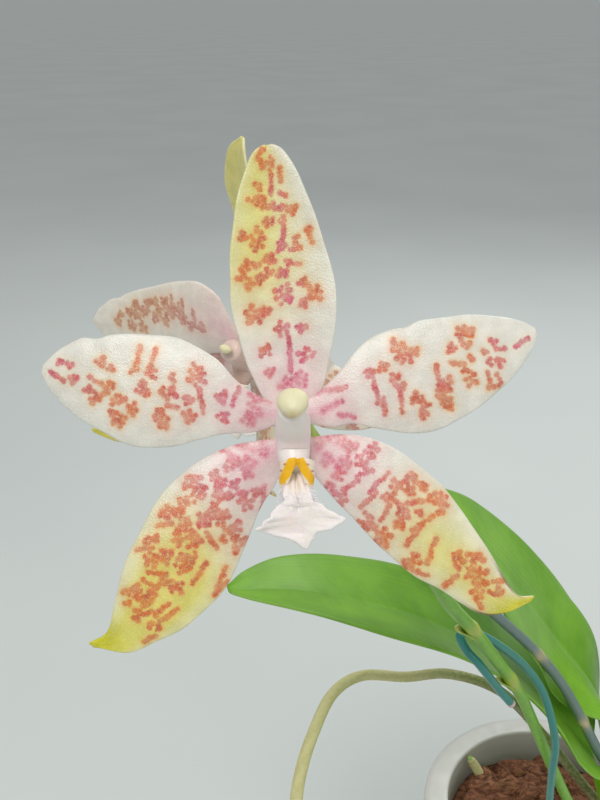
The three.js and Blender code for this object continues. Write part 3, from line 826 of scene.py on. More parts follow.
@dataclass
class Stage:
    """The floor, the soft studio light and the camera at the photograph's angle."""

    place: tuple[float, float, float] = (-0.104, -0.273, 0.402)
    pitch: float = 24.0
    focal_pixels: float = 900.0
    long_side_pixels: float = 800.0
    sensor: float = 36.0
    sight: tuple[float, float] = (0.01, 5000.0)
    floor_size: float = 2000.0
    surround: Colour = (0.93, 0.95, 0.93)
    surround_power: float = 0.5

    def build(self) -> None:
        """Makes everything that isn't part of the plant."""
        self.camera()
        self.floor()
        self.world()
        for light in LIGHTS:
            light.build()
        LOG.info("stage: camera, floor and %d soft lights", len(LIGHTS))

    def camera(self) -> None:
        """Makes the camera, which looks along +Y and down."""
        lens = bpy.data.cameras.new("camera")
        lens.sensor_fit = "AUTO"
        lens.sensor_width = self.sensor
        lens.lens = self.focal_pixels / self.long_side_pixels * self.sensor
        lens.clip_start, lens.clip_end = self.sight
        camera = linked("camera", lens)
        camera.location = self.place
        camera.rotation_euler = (math.radians(90 - self.pitch), 0, 0)
        bpy.context.scene.camera = camera

    def floor(self) -> None:
        """Makes the plain pale floor."""
        half = self.floor_size / 2 / MM
        corners = np.array([[-half, -half, 0], [half, -half, 0], [half, half, 0], [-half, half, 0]])
        floor = mesh_object("floor", corners, [(0, 1, 2, 3)])
        floor.data.materials.append(FloorFinish().build())

    def world(self) -> None:
        """Sets a plain pale surround."""
        world = bpy.data.worlds.new("surround")
        world.use_nodes = True
        surround = world.node_tree.nodes["Background"]
        surround.inputs["Color"].default_value = (*self.surround, 1)
        surround.inputs["Strength"].default_value = self.surround_power
        bpy.context.scene.world = world


# Pot and bark


@dataclass
class Pot:
    """The moulded pot with its rolled rim and drain holes."""

    height: float = 95.0
    base_radius: float = 36.0
    neck_radius: float = 43.5
    rim_radius: float = 52.0
    rim_height: float = 9.0
    wall: float = 1.6
    base: float = 2.2
    corner: float = 1.4
    holes: int = 6
    hole_radius: float = 4.5
    hole_circle: float = 24.0
    segments: int = 144

    def profile(self) -> np.ndarray:
        """The wall's outline as radius and height, with rounded corners.

        Returns:
            Rows of radius and height, from the middle of the underside to that of the inside.
        """
        shoulder, c = self.height - self.rim_height, self.corner
        corners = [
            (0, 0, 0), (self.base_radius, 0, c), (self.neck_radius, shoulder, 0.8),
            (self.rim_radius, shoulder, c), (self.rim_radius, self.height, 2 * c),
            (self.neck_radius - self.wall, self.height, 1.2), (self.neck_radius - self.wall, shoulder, 1),
            (self.base_radius - self.wall, self.base, 1.2), (0, self.base, 0),
        ]
        outline = [corners[0][:2]]
        for before, corner, after in zip(corners, corners[1:], corners[2:]):
            here = np.array(corner[:2], float)
            back, on = unit(np.array(before[:2]) - here), unit(np.array(after[:2]) - here)
            for t in np.linspace(0, 1, 5):
                outline.append(tuple(here + back * corner[2] * (1 - t) ** 2 + on * corner[2] * t**2))
        outline.append(corners[-1][:2])
        return np.array(outline)

    def build(self) -> None:
        """Turns the profile, drills the base and dresses the pot."""
        rings = self.profile()[1:-1]
        n, last = self.segments, 2 + (len(rings) - 1) * self.segments
        angle = np.linspace(0, 2 * math.pi, n, endpoint=False)
        points = [[0, 0, 0], [0, 0, self.base]]
        points += [[r * math.cos(a), r * math.sin(a), z] for r, z in rings for a in angle]
        faces = fan(0, 2, n, True) + fan(1, last, n) + band(2, len(rings), n)
        pot = self.drilled(mesh_object("pot_moulding", np.array(points), faces))
        dress(pot, PotFinish("pot_plastic").build(), "pot_plastic", "pot")

    def drilled(self, pot: bpy.types.Object) -> bpy.types.Object:
        """Cuts the drain holes.

        Args:
            pot: the turned pot; it is removed.

        Returns:
            The pot with its holes.
        """
        points, faces = [], []
        sides = 24
        for hole in range(self.holes):
            turn = (hole + 0.5) / self.holes * 2 * math.pi
            x, y = self.hole_circle * math.cos(turn), self.hole_circle * math.sin(turn)
            first = len(points)
            for z in (-self.base, 2 * self.base):
                for k in range(sides):
                    a = 2 * math.pi * k / sides
                    points.append([x + self.hole_radius * math.cos(a), y + self.hole_radius * math.sin(a), z])
            faces.append([first + k for k in range(sides)][::-1])
            faces.append([first + sides + k for k in range(sides)])
            faces += band(first, 2, sides)
        drill = mesh_object("drill", np.array(points), faces)
        cut = pot.modifiers.new("cut", "BOOLEAN")
        cut.operation, cut.object, cut.solver = "DIFFERENCE", drill, "EXACT"
        result = evaluated(pot, "pot_moulding")
        bpy.data.objects.remove(drill)
        result.data.shade_smooth()
        result.data.set_sharp_from_angle(angle=math.radians(50))
        return result


@dataclass
class BarkMix:
    """The bark in the pot: a rough core and loose chips on it."""

    pot: Pot
    level: float = 81.0
    lift: float = 0.3
    chip_count: int = 74
    chip_size: tuple[float, float] = (8.2, 5.2)
    chip_margin: float = 8.0
    chip_foot: float = -2.3
    chip_height: float = 4.7
    chip_scale: tuple[float, float] = (0.8, 1.3)
    chip_lean: float = 0.8
    seed: int = 5

    def radius_at(self, z: np.ndarray) -> np.ndarray:
        """The radius inside the pot at a height.

        Args:
            z: the heights.

        Returns:
            The radius at each height.
        """
        pot = self.pot
        part = (z - pot.base) / (pot.height - pot.rim_height - pot.base)
        return pot.base_radius + (pot.neck_radius - pot.base_radius) * part - pot.wall - 2 * self.lift

    def build(self) -> None:
        """Makes the core and the chips."""
        bark = BarkFinish("fir_bark").build()
        self.core(bark)
        self.chips(bark)

    def core(self, bark: bpy.types.Material) -> None:
        """Makes the rough block that fills the pot.

        Args:
            bark: the bark's finish.
        """
        rng = np.random.default_rng(self.seed)
        rings, sides = 26, 96
        angle = np.linspace(0, 2 * math.pi, sides, endpoint=False)
        top = self.radius_at(np.array(self.level))
        points = []
        for r in np.linspace(0.04, 1, rings):
            rough = self.level - 1.5 + 1.3 * np.sin(5 * angle + 9 * r) * r + rng.uniform(-0.8, 0.8, sides)
            points.append(np.stack([np.cos(angle) * r * top, np.sin(angle) * r * top, rough], axis=1))
        foot = self.pot.base + self.lift
        for z in np.linspace(self.level - 6, foot, 6):
            r = self.radius_at(np.array(z))
            points.append(np.stack([np.cos(angle) * r, np.sin(angle) * r, np.full(sides, z)], axis=1))
        last = (len(points) - 1) * sides
        faces = band(0, len(points), sides, True)
        faces.append(list(range(sides)))
        faces.append(list(range(last, last + sides))[::-1])
        dress(mesh_object("bark_core", np.vstack(points), faces), bark, "bark", "bark_mix")

    def chips(self, bark: bpy.types.Material) -> None:
        """Scatters chips over the bark with geometry nodes.

        Args:
            bark: the bark's finish.
        """
        chip = self.chip()
        reach = self.radius_at(np.array(self.level)) - self.chip_margin
        spots = []
        for i in range(self.chip_count):
            distance = math.sqrt((i + 0.5) / self.chip_count) * reach
            spots.append([math.cos(i * GOLDEN_ANGLE) * distance, math.sin(i * GOLDEN_ANGLE) * distance,
                          self.level + 2.2 + 2.2 * ((i * 7) % 5) / 4])
        cloud = mesh_object("bark_spots", np.array(spots), [])
        tree = Geometry("bark_scatter")
        seed = tree.size("Seed", "NodeSocketInt")
        small, large = tree.size("Smallest"), tree.size("Largest")
        shape = tree.node("GeometryNodeObjectInfo", chip, transform_space="ORIGINAL", out=4)
        lean = self.chip_lean
        tilt = tree.node("FunctionNodeRandomValue", (-lean, -lean, 0.0), (lean, lean, 2 * math.pi), (8, seed),
                         data_type="FLOAT_VECTOR")
        grow = tree.node("FunctionNodeRandomValue", (2, small), (3, large), (8, seed), out=1)
        turned = tree.node("FunctionNodeEulerToRotation", tilt)
        cloud_in = tree.entry.outputs[0]
        placed = tree.node("GeometryNodeInstanceOnPoints", cloud_in, (2, shape), (5, turned), (6, grow))
        tree.finish(placed, bark)
        smallest, largest = self.chip_scale
        chips = tree.apply(cloud, "bark_chips", Seed=self.seed, Smallest=smallest, Largest=largest)
        bpy.data.objects.remove(chip)
        chips.data.shade_smooth()
        dress(chips, bark, "bark")

    def chip(self) -> bpy.types.Object:
        """One chip: a flat broken block with a ragged outline and layered sides.

        Returns:
            The chip, at the origin.
        """
        rng = np.random.default_rng(self.seed + 1)
        sides, layers = 10, 3
        angle = np.linspace(0, 2 * math.pi, sides, endpoint=False)
        outline = 1 + rng.uniform(-0.16, 0.16, sides)
        (long, wide), foot = self.chip_size, self.chip_foot
        points = [[0, 0, foot], [0, 0, foot + self.chip_height]]
        for layer in range(layers):
            z = foot + self.chip_height * layer / (layers - 1)
            shrink = 1 - 0.12 * (layer in (0, layers - 1)) + rng.uniform(-0.05, 0.05, sides)
            for a, r in zip(angle, outline * shrink):
                points.append([long * math.cos(a) * r, wide * math.sin(a) * r, z + rng.uniform(-0.35, 0.35)])
        last = 2 + (layers - 1) * sides
        faces = band(2, layers, sides) + fan(0, 2, sides, True) + fan(1, last, sides)
        return mesh_object("bark_chip", np.array(points), faces)


# Stem, roots, spikes and wire


class Tone(Enum):
    """The base colour of each kind of stalk."""

    STEM = (0.2, 0.28, 0.06)
    ROOT = (0.68, 0.63, 0.3)
    SPIKE = (0.16, 0.42, 0.02)
    OLD_SPIKE = (0.16, 0.22, 0.24)
    WIRE = (0.015, 0.2, 0.165)
    PEDICEL = (0.42, 0.5, 0.12)


@dataclass
class Stalk:
    """A round piece along a route: a stem, a root, a flower stalk or a wire."""

    node: str
    slot: str
    tone: Tone
    points: Stations
    radii: Stations
    steps: int
    sides: int = 20
    rings: Sequence[float] = ()
    swell: float = 0.16
    swell_length: float = 0.008

    def colours(self, t: np.ndarray, angle: np.ndarray) -> np.ndarray:
        """Paints the stalk by rule.

        Args:
            t: how far along each point is.
            angle: each point's angle round the stalk.

        Returns:
            A colour for each point.
        """
        streak = 0.5 + 0.5 * np.sin(3 * angle + 9 * np.sin(14 * t))
        nodes = [((0.5, 0.55, 0.08), bell(t, ring, 0.014)) for ring in self.rings]
        scars = [((0.62, 0.5, 0.3), 0.9 * bell(t, ring, 0.018)) for ring in self.rings]
        living = [*nodes, ((0.1, 0.26, 0.015), 0.35 * streak)]
        layers = {
            Tone.STEM: [((0.3, 0.22, 0.1), smooth(0.55, 0.25, t))],
            Tone.ROOT: [
                # Dark olive over a root's first part: painted shade, from the leaves above it.
                ((0.12, 0.15, 0.05), 0.85 * smooth(0.45, 0.2, t)),
                ((0.25, 0.11, 0.05), 0.8 * bell(t, 0.9, 0.006)),
                ((0.22, 0.5, 0.05), smooth(0.955, 0.985, t)),
                ((0.46, 0.42, 0.17), 0.3 * streak),
            ],
            Tone.SPIKE: living,
            Tone.PEDICEL: living,
            Tone.OLD_SPIKE: [*scars, ((0.16, 0.22, 0.12), 0.35 * streak)],
            Tone.WIRE: [((0.6, 0.42, 0.4), smooth(0.988, 0.992, t))],
        }
        return layered(len(t), self.tone.value, *layers[self.tone])

    def build(self, material: bpy.types.Material) -> None:
        """Makes and dresses the stalk.

        Args:
            material: the finish.
        """
        fine = np.linspace(0, 1, 4 * self.steps + 1)
        radius = along(self.radii, fine)
        for ring in self.rings:
            radius = radius * (1 + self.swell * bell(fine, ring, self.swell_length))
        swollen = np.stack([fine, radius], axis=1)
        item, t, angle = stalk(f"{self.node}_fine", self.points, swollen, 2 * self.steps, self.sides)
        paint(item, "tone", self.colours(t, angle))
        dress(item, material, self.slot, self.node)


STEM_SKIN = TissueFinish("stem_skin", 380, 0.5, (0.32, 0.26, 0.12), 700, 0.6, 0.0006, 0.6)
ROOT_SKIN = TissueFinish("root_velamen", 700, 0.35, (0.75, 0.72, 0.5), 1100, 0.45, 0.0004, 0.62, 0.35, 0.15)
SPIKE_SKIN = TissueFinish("spike_skin", 500, 0.3, (0.3, 0.5, 0.05), 1300, 0.3, 0.0002, 0.36)
OLD_SPIKE_SKIN = TissueFinish("old_spike_skin", 420, 0.4, (0.2, 0.26, 0.22), 900, 0.4, 0.0003, 0.5)
WIRE_SKIN = TissueFinish("wire_coating", 300, 0.15, (0.05, 0.32, 0.27), 500, 0.1, 0.0002, 0.3, 0.5, 0.0, 0.3)

STEM_POINTS = [(26, -6, 62), (26, -6, 94), (26, -6, 126)]
STEM_RADII = [(0, 5.2), (0.6, 5.2), (0.8, 4), (1, 2.6)]
STEM_SCARS = [0.52 + 0.055 * k for k in range(8)]

ROOTS = {
    "root_aerial_left": (
        [(21.1, -1.2, 96.5), (11, 3, 108), (-6, 4, 131), (-25, 4, 153), (-45, 6, 160), (-62, 9, 156),
         (-79, 12, 154), (-91, 4, 152), (-99, -10, 145), (-104, -21, 135), (-106, -29, 122), (-106, -35, 104),
         (-103, -38, 84), (-99, -39, 68)],
        [(0, 1.9), (0.35, 2), (0.6, 2.3), (0.9, 2.5), (0.97, 2.1), (1, 1)],
        90,
    ),
    "root_aerial_right": (
        [(31, -1.5, 97), (38, 8, 106), (49, 22, 110), (60, 34, 104), (68, 42, 86), (70, 46, 64),
         (67, 48, 44)],
        [(0, 2.4), (0.85, 2.7), (0.96, 2.2), (1, 1)],
        50,
    ),
    "root_into_bark": (
        [(28.8, -10.9, 90), (31, -14.7, 89.5), (31.2, -18, 86), (29.5, -20, 80), (28.5, -21, 70)],
        [(0, 2.4), (1, 2.2)],
        24,
    ),
    "root_tip_at_rim": (
        [(-19, 20, 72), (-21, 22, 82), (-25.5, 25, 90), (-29, 26.5, 95.5)],
        [(0, 2.2), (0.7, 2.1), (0.92, 1.7), (1, 0.9)],
        24,
    ),
}

SPIKE_POINTS = [
    (23.1, -12.2, 92.9), (15, -22, 101), (3, -31, 117), (-8, -38, 140), (-20, -47, 168), (-29, -54, 190),
    (-39, -64, 214), (-50, -74, 235), (-59, -83, 252), (-68, -95, 269), (-76, -105, 287), (-83, -112, 303),
    (-88, -117, 315), (-90, -120, 323),
]
SPIKE_RADII = [(0, 2.4), (0.04, 2.2), (0.12, 1.85), (0.7, 1.7), (0.95, 1.35), (1, 0.7)]
SPIKE_NODES = (0.16, 0.49, 0.62, 0.77, 0.88)

OLD_SPIKE_POINTS = [
    (21.1, -9.1, 107), (19.9, -12.8, 116), (18.3, -13.2, 126.4), (8.5, -18.5, 143.3), (-1.2, -19.5, 161.9),
    (-12.5, -24.4, 182.9), (-26, -31.8, 203.4), (-41.3, -41.4, 223.7), (-48.8, -46.1, 233.2),
]
OLD_SPIKE_RADII = [(0, 1.1), (0.1, 1.4), (0.3, 1.9), (1, 1.6)]
OLD_SPIKE_NODES = (0.49, 0.73)

WIRE_POINTS = [
    (-8, -32, 60), (-11, -36.5, 92), (-15, -43, 122), (-19, -49, 150), (-21.5, -53.5, 170), (-23, -56, 187),
    (-28.7, -57, 206), (-37, -60.5, 220.5), (-48, -67.5, 234.5), (-56, -72.5, 242.5), (-60, -73.5, 242.5),
    (-58, -74.5, 238), (-54.2, -75, 233.5), (-47.5, -72, 222.5), (-42.5, -70, 215),
]
WIRE_RADII = [(0, 1.25), (1, 1.25)]


@dataclass
class Bract:
    """The small bract that clasps the spike at one node."""

    number: int
    where: float
    length: float = 9.0
    half_angle: float = 1.25
    flare: float = 1.5
    thickness: float = 0.6
    front: tuple[float, float, float] = (-1.0, -0.4, 0.0)

    def surface(self, u: np.ndarray, v: np.ndarray) -> np.ndarray:
        """The bract's middle surface, wrapped round the spike and opening at its tip.

        Args:
            u: places from 0 at the base to 1 at the tip.
            v: places from -1 to 1 across.

        Returns:
            A point for each place, in the plant's frame.
        """
        centre, heading = (rows[0] for rows in route(SPIKE_POINTS, np.array([self.where])))
        front = unit(np.cross(np.cross(heading, self.front), heading))
        side = np.cross(heading, front)
        turn = v * (self.half_angle - 0.5 * u) * np.sqrt(np.maximum(1 - u**2.2, 0.02))
        reach = 1.1 * along(SPIKE_RADII, np.array(self.where)) + self.flare * u**2
        out = front * (np.cos(turn) * reach)[:, None] + side * (np.sin(turn) * reach)[:, None]
        return centre + out + heading * (self.length * (u - 0.5))[:, None]

    def build(self, material: bpy.types.Material) -> None:
        """Makes and dresses the bract.

        Args:
            material: the finish.
        """
        sheet = Sheet(self.surface, 20, 10, self.thickness)
        bract = sheet.build(f"spike_bract_{self.number}")
        tip = ((0.55, 0.5, 0.2), smooth(0.7, 1.0, sheet.u))
        paint(bract, "tone", layered(len(sheet.u), (0.3, 0.45, 0.06), tip))
        dress(bract, material, "spike_green")


def build_stalks() -> None:
    """Makes the stem, the roots, both spikes, the wire and the bracts."""
    spike, root = SPIKE_SKIN.build(), ROOT_SKIN.build()
    stem = Stalk("stem", "stem_green", Tone.STEM, STEM_POINTS, STEM_RADII, 60, 32, STEM_SCARS)
    stem.build(STEM_SKIN.build())
    for name, (points, radii, steps) in ROOTS.items():
        Stalk(name, "root_cream", Tone.ROOT, points, radii, steps).build(root)
    flowering = Stalk("flower_spike", "spike_green", Tone.SPIKE, SPIKE_POINTS, SPIKE_RADII, 120,
                      rings=SPIKE_NODES)
    flowering.build(spike)
    old = Stalk("old_spike", "old_spike_grey", Tone.OLD_SPIKE, OLD_SPIKE_POINTS, OLD_SPIKE_RADII, 60,
                rings=OLD_SPIKE_NODES)
    old.build(OLD_SPIKE_SKIN.build())
    Stalk("wire_support", "coated_wire", Tone.WIRE, WIRE_POINTS, WIRE_RADII, 130).build(WIRE_SKIN.build())
    for number, where in enumerate(SPIKE_NODES, 1):
        Bract(number, where).build(spike)


# Leaves

LEAF_OUTLINE = [(0, 0.3), (0.1, 0.4), (0.22, 0.64), (0.4, 0.9), (0.6, 1), (0.78, 0.88), (0.9, 0.6),
                (0.97, 0.3), (1, 0.08)]
LEAF_THICKNESS = 1.6
LEAF_FINISH = LeafFinish("leaf_skin")


@dataclass
class Leaf:
    """One strap-shaped leaf that follows its midrib."""

    node: str
    midrib: Stations
    half_width: float
    fold: tuple[float, float]
    roll: Stations = ((0, 0), (1, 0))
    rows: int = 150
    columns: int = 44
    wave: float = 0.5
    phase: float = 0.0

    def surface(self, u: np.ndarray, v: np.ndarray) -> np.ndarray:
        """The leaf's middle surface.

        Args:
            u: places from 0 at the base to 1 at the tip.
            v: places from -1 to 1 across.

        Returns:
            A point for each place, in the plant's frame.
        """
        place, heading = route(self.midrib, u)
        lean = np.array(self.midrib[-1], float) - np.array(self.midrib[0], float)
        lean[2] = 0
        lean = unit(lean)
        level = np.broadcast_to([-lean[1], lean[0], 0.0], heading.shape)
        across = turned_about(level, heading, np.radians(along(self.roll, u)))
        across = unit(across - heading * np.sum(across * heading, axis=1, keepdims=True))
        inward = unit(np.cross(heading, across))
        half = self.half_width * along(LEAF_OUTLINE, u)
        bend = np.radians(self.fold[0] + (self.fold[1] - self.fold[0]) * np.minimum(1, u / 0.4))
        channel = np.abs(v) ** 1.4 * np.sin(bend)
        ripple = self.wave * np.sin(17 * u + 3 * v + self.phase) * np.abs(v) ** 2 * smooth(0.05, 0.3, u)
        groove = -0.35 * bell(v, 0, 0.06) * smooth(0.0, 0.1, u) * smooth(1.0, 0.85, u)
        spread = v * half * np.cos(bend * np.abs(v) ** 0.4)
        return place + across * spread[:, None] + inward * (channel * half + ripple + groove)[:, None]

    def build(self, material: bpy.types.Material) -> None:
        """Makes and dresses the leaf, with painted highlights along each half of the blade, and its midrib,
        margin, base and underside.

        Args:
            material: the finish.
        """
        sheet = Sheet(self.surface, self.rows, self.columns, LEAF_THICKNESS, edge=0.3, roundness=4.0)
        leaf = sheet.build(f"{self.node}_blade")
        u, v, back = sheet.u, sheet.v, sheet.back
        # Lighter greens along the middle of each half of the fold: painted highlights, where the light falls.
        painted_highlights = 0.7 * bell(v, 0.45, 0.3) + 0.5 * bell(v, -0.5, 0.3)
        midrib = 0.6 * bell(v, 0, 0.045) * smooth(0.95, 0.6, u)
        margin = 0.7 * smooth(0.93, 1.0, np.abs(v))
        colours = layered(
            len(u), (0.12, 0.4, 0.0),
            ((0.32, 0.72, 0.0), painted_highlights),
            ((0.26, 0.52, 0.05), midrib),
            ((0.36, 0.56, 0.14), margin),
            ((0.36, 0.46, 0.1), smooth(0.16, 0.0, u)),
            ((0.2, 0.4, 0.06), 0.75 * back),
        )
        lines = 0.5 + 0.5 * np.sin(v * 62 + 1.5 * np.sin(3 * u + self.phase))
        paint(leaf, "tone", colours)
        paint(leaf, "vein", lines**3)
        dress(leaf, material, "leaf_green", self.node)


LEAVES = (
    Leaf(
        "leaf_lower_left",
        [(19, -8.2, 101), (14, -11.5, 117), (8.5, -14, 134), (0, -14, 148), (-16, -17, 168),
         (-37, -22, 192.5), (-61, -30, 213), (-83, -38, 226.5), (-104, -46, 237), (-125, -54, 243)],
        24.5, (38, 10), ((0, 0), (0.15, 0), (0.32, -26), (0.5, -8), (1, 0)), phase=0.4,
    ),
    Leaf(
        "leaf_upper_left",
        [(19.6, -7.5, 113.5), (17, -4, 135), (10, 1, 157), (-8.7, -2.2, 184), (-23.6, -9.3, 206.5),
         (-36.5, -15.4, 225.1), (-50.8, -24.2, 243.3), (-71.2, -37, 264.5)],
        24, (38, 3), ((0, 0), (0.18, 0), (0.35, -40), (0.55, -33), (1, -16)), phase=1.7,
    ),
    Leaf(
        "leaf_lower_right",
        [(32, -4.1, 106), (41, -1, 127), (58, 4, 155), (85, 12, 179), (115, 21, 189), (143, 30, 186),
         (166, 37, 174)],
        28, (38, 14), phase=2.6,
    ),
    Leaf(
        "leaf_upper_right",
        [(31, -4.4, 118), (37, -2, 141), (46, 1, 169), (63, 6, 196), (86, 14, 213), (111, 22, 217),
         (134, 29, 210)],
        25, (38, 14), phase=3.9,
    ),
    Leaf(
        "leaf_young",
        [(26.5, -5.6, 126.5), (28.8, -3, 142), (31, 1, 157), (34, 7, 170), (37, 15, 180)],
        10, (38, 26), rows=80, columns=30, wave=0.2, phase=5.0,
    ),
)


# Flowers. Each is built in its own frame: x right, y up and z out of its face, in millimetres.

PICTURE_CENTRE = (293.0, 430.0)
MM_PER_PIXEL = 0.14667
TEPAL_THICKNESS, LOBE_THICKNESS = 0.7, 0.55
# The small spots that blots and bars are made of: their radii, crowding, spacing and stray.
BLOT_RADII, BLOT_DENSITY = (0.36, 0.5), 4.6
BAR_RADII, BAR_STEP, BAR_STRAY = (0.34, 0.48), 0.55, 0.12


@dataclass(frozen=True)
class Marks:
    """Where a tepal's marks lie, in pixels of the picture of the front flower.

    Blots are clusters of small spots, each (x, y, radius). Bars are chains of spots, each
    (x0, y0, x1, y1).
    """

    blots: Sequence[tuple[float, float, float]]
    bars: Sequence[tuple[float, float, float, float]]


@dataclass(frozen=True)
class Tepal:
    """The shape of one tepal and how it is coloured."""

    start: tuple[float, float]
    length: float
    angle: float
    outline: Stations
    lift: Stations
    cup: float
    marks: Marks
    twist: float = 0.0
    keel: float = 0.0
    yellow: float = 0.0
    yellow_side: float = 0.0
    tip_green: float = 0.0
    tip_magenta: float = 0.0
    red_middle: float = 0.0
    dark_edge: float = 0.0
    notches: Sequence[tuple[float, float, float, float]] = ()


DORSAL_OUTLINE = [(0, 1.7, 1.7), (0.08, 4, 4.2), (0.25, 6.3, 6.5), (0.42, 7.5, 7.9), (0.55, 7.3, 7.5),
                  (0.72, 6.2, 6), (0.86, 4.6, 4.4), (0.95, 3, 2.8), (0.985, 1.9, 1.8), (1, 0.6, 0.6)]
LEFT_PETAL_OUTLINE = [(0, 1.3, 1.3), (0.1, 3.2, 2.2), (0.2, 4, 3.8), (0.3, 5.7, 6.3), (0.45, 7.9, 8.1),
                      (0.57, 8.4, 8), (0.72, 7.1, 7), (0.85, 5.3, 5.4), (0.94, 3.2, 3.4), (1, 0.5, 0.5)]
RIGHT_PETAL_OUTLINE = [(0, 1.3, 1.3), (0.08, 2, 3.2), (0.18, 3.6, 4), (0.28, 6, 6.1), (0.38, 7.1, 8),
                       (0.5, 7.2, 8.8), (0.62, 6.7, 8.1), (0.75, 5.6, 6.7), (0.87, 4, 4.7), (0.95, 2.2, 2.6),
                       (1, 0.5, 0.5)]
LEFT_LATERAL_OUTLINE = [(0, 1.5, 1.5), (0.1, 3.1, 4.7), (0.2, 4, 6.6), (0.33, 5.9, 7.8), (0.46, 8, 7.6),
                        (0.58, 8.6, 6.2), (0.71, 8.1, 4.4), (0.82, 6.6, 1.8), (0.92, 4.7, -0.3),
                        (1, 0.4, 0.4)]
RIGHT_LATERAL_OUTLINE = [(0, 1.5, 1.5), (0.08, 4.2, 2.8), (0.18, 6.3, 3.9), (0.3, 7, 5), (0.44, 6.7, 6.2),
                         (0.58, 5.3, 6.8), (0.69, 3.4, 6.4), (0.79, 1.8, 6.3), (0.88, -0.1, 5.9),
                         (0.95, -0.7, 3.6), (1, 0.4, 0.4)]

DORSAL_MARKS = Marks(
    blots=[
        (263, 166, 6), (258, 187, 5), (252, 201, 5), (262, 204, 8), (272, 207, 6), (282, 208, 5),
        (293, 211, 6), (283, 220, 5), (269, 223, 7), (309, 230, 4), (243, 238, 6), (258, 232, 5),
        (256, 243, 9), (296, 240, 5), (281, 247, 6), (269, 259, 7), (288, 262, 5), (246, 267, 7),
        (256, 266, 5), (268, 273, 6), (281, 274, 6), (241, 278, 5), (249, 283, 7), (259, 280, 6),
        (283, 295, 11), (303, 282, 6), (317, 294, 8), (304, 303, 6), (253, 315, 10), (265, 312, 6),
        (282, 330, 9), (302, 328, 6), (265, 350, 8), (306, 354, 9), (270, 372, 6), (300, 379, 9),
        (286, 385, 9),
    ],
    bars=[
        (258, 162, 262, 152), (270, 160, 273, 167), (270, 172, 272, 176), (281, 171, 281, 182),
        (271, 180, 271, 195), (280, 194, 286, 196), (284, 225, 283, 242), (290, 250, 301, 248),
        (290, 263, 300, 265), (310, 236, 312, 243), (309, 284, 312, 298), (289, 337, 290, 372),
        (277, 276, 287, 272),
    ],
)
LEFT_PETAL_MARKS = Marks(
    blots=[
        (59, 362, 4), (71, 366, 5), (75, 380, 6), (102, 363, 6), (112, 368, 5), (114, 385, 5),
        (109, 391, 5), (90, 390, 5), (97, 397, 8), (136, 371, 5), (154, 374, 7), (145, 390, 9),
        (115, 402, 4), (123, 399, 6), (134, 409, 7), (121, 418, 9), (114, 412, 4), (174, 379, 5),
        (170, 393, 9), (160, 414, 7), (164, 421, 8), (198, 376, 11), (190, 401, 6), (191, 416, 8),
        (222, 397, 7), (224, 416, 7), (253, 401, 8), (256, 412, 7), (248, 419, 8),
    ],
    bars=[
        (49, 372, 65, 381), (91, 377, 103, 384), (142, 348, 138, 366), (157, 350, 151, 368),
        (169, 405, 179, 407), (200, 388, 205, 412), (239, 388, 233, 405), (261, 399, 270, 401),
    ],
)
RIGHT_PETAL_MARKS = Marks(
    blots=[
        (392, 343, 4), (401, 355, 11), (414, 353, 5), (381, 368, 6), (369, 374, 6), (393, 379, 7),
        (401, 387, 5), (414, 398, 7), (423, 404, 6), (422, 413, 6), (439, 386, 7), (447, 381, 5),
        (443, 396, 9), (447, 406, 6), (459, 334, 8), (469, 333, 6), (449, 349, 6), (465, 346, 5),
        (469, 359, 4), (462, 371, 4), (469, 379, 8), (483, 353, 4), (492, 343, 5), (487, 363, 5),
        (499, 362, 6),
    ],
    bars=[
        (372, 379, 377, 403), (382, 397, 384, 414), (398, 388, 401, 412), (434, 366, 436, 379),
        (448, 363, 461, 365), (494, 350, 502, 349), (485, 373, 488, 382), (495, 375, 499, 382),
        (487, 387, 497, 386), (514, 347, 528, 338), (318, 392, 345, 388), (323, 410, 341, 401),
        (338, 414, 354, 416),
    ],
)
LEFT_LATERAL_MARKS = Marks(
    blots=[
        (262, 451, 7), (246, 463, 9), (231, 464, 9), (248, 474, 6), (190, 484, 8), (202, 489, 6),
        (198, 495, 8), (215, 477, 7), (221, 481, 6), (219, 493, 8), (227, 496, 6), (235, 484, 6),
        (242, 495, 6), (257, 492, 6), (246, 504, 8), (184, 503, 7), (179, 512, 8), (167, 513, 8),
        (187, 526, 8), (215, 510, 9), (222, 518, 9), (204, 520, 9), (236, 526, 7), (228, 529, 5),
        (153, 541, 8), (153, 558, 9), (167, 555, 9), (179, 541, 6), (178, 533, 5), (194, 539, 9),
        (223, 539, 5), (238, 541, 8), (248, 541, 6), (235, 549, 5), (184, 562, 10), (193, 556, 6),
        (163, 581, 6), (176, 585, 9), (127, 591, 5), (137, 587, 6), (137, 596, 5), (144, 598, 5),
        (153, 593, 6), (130, 602, 5), (147, 601, 6), (139, 609, 5), (137, 617, 5), (151, 624, 4),
        (160, 626, 4),
    ],
    bars=[
        (251, 438, 272, 437), (235, 445, 253, 451), (221, 452, 234, 457), (188, 478, 202, 477),
        (158, 526, 172, 523), (138, 550, 150, 548), (207, 532, 216, 547), (207, 562, 193, 582),
        (215, 593, 225, 567), (215, 594, 227, 581), (149, 571, 166, 573), (144, 579, 158, 587),
        (157, 613, 170, 602), (160, 620, 178, 608), (144, 640, 157, 634), (263, 486, 261, 512),
        (145, 613, 153, 611),
    ],
)
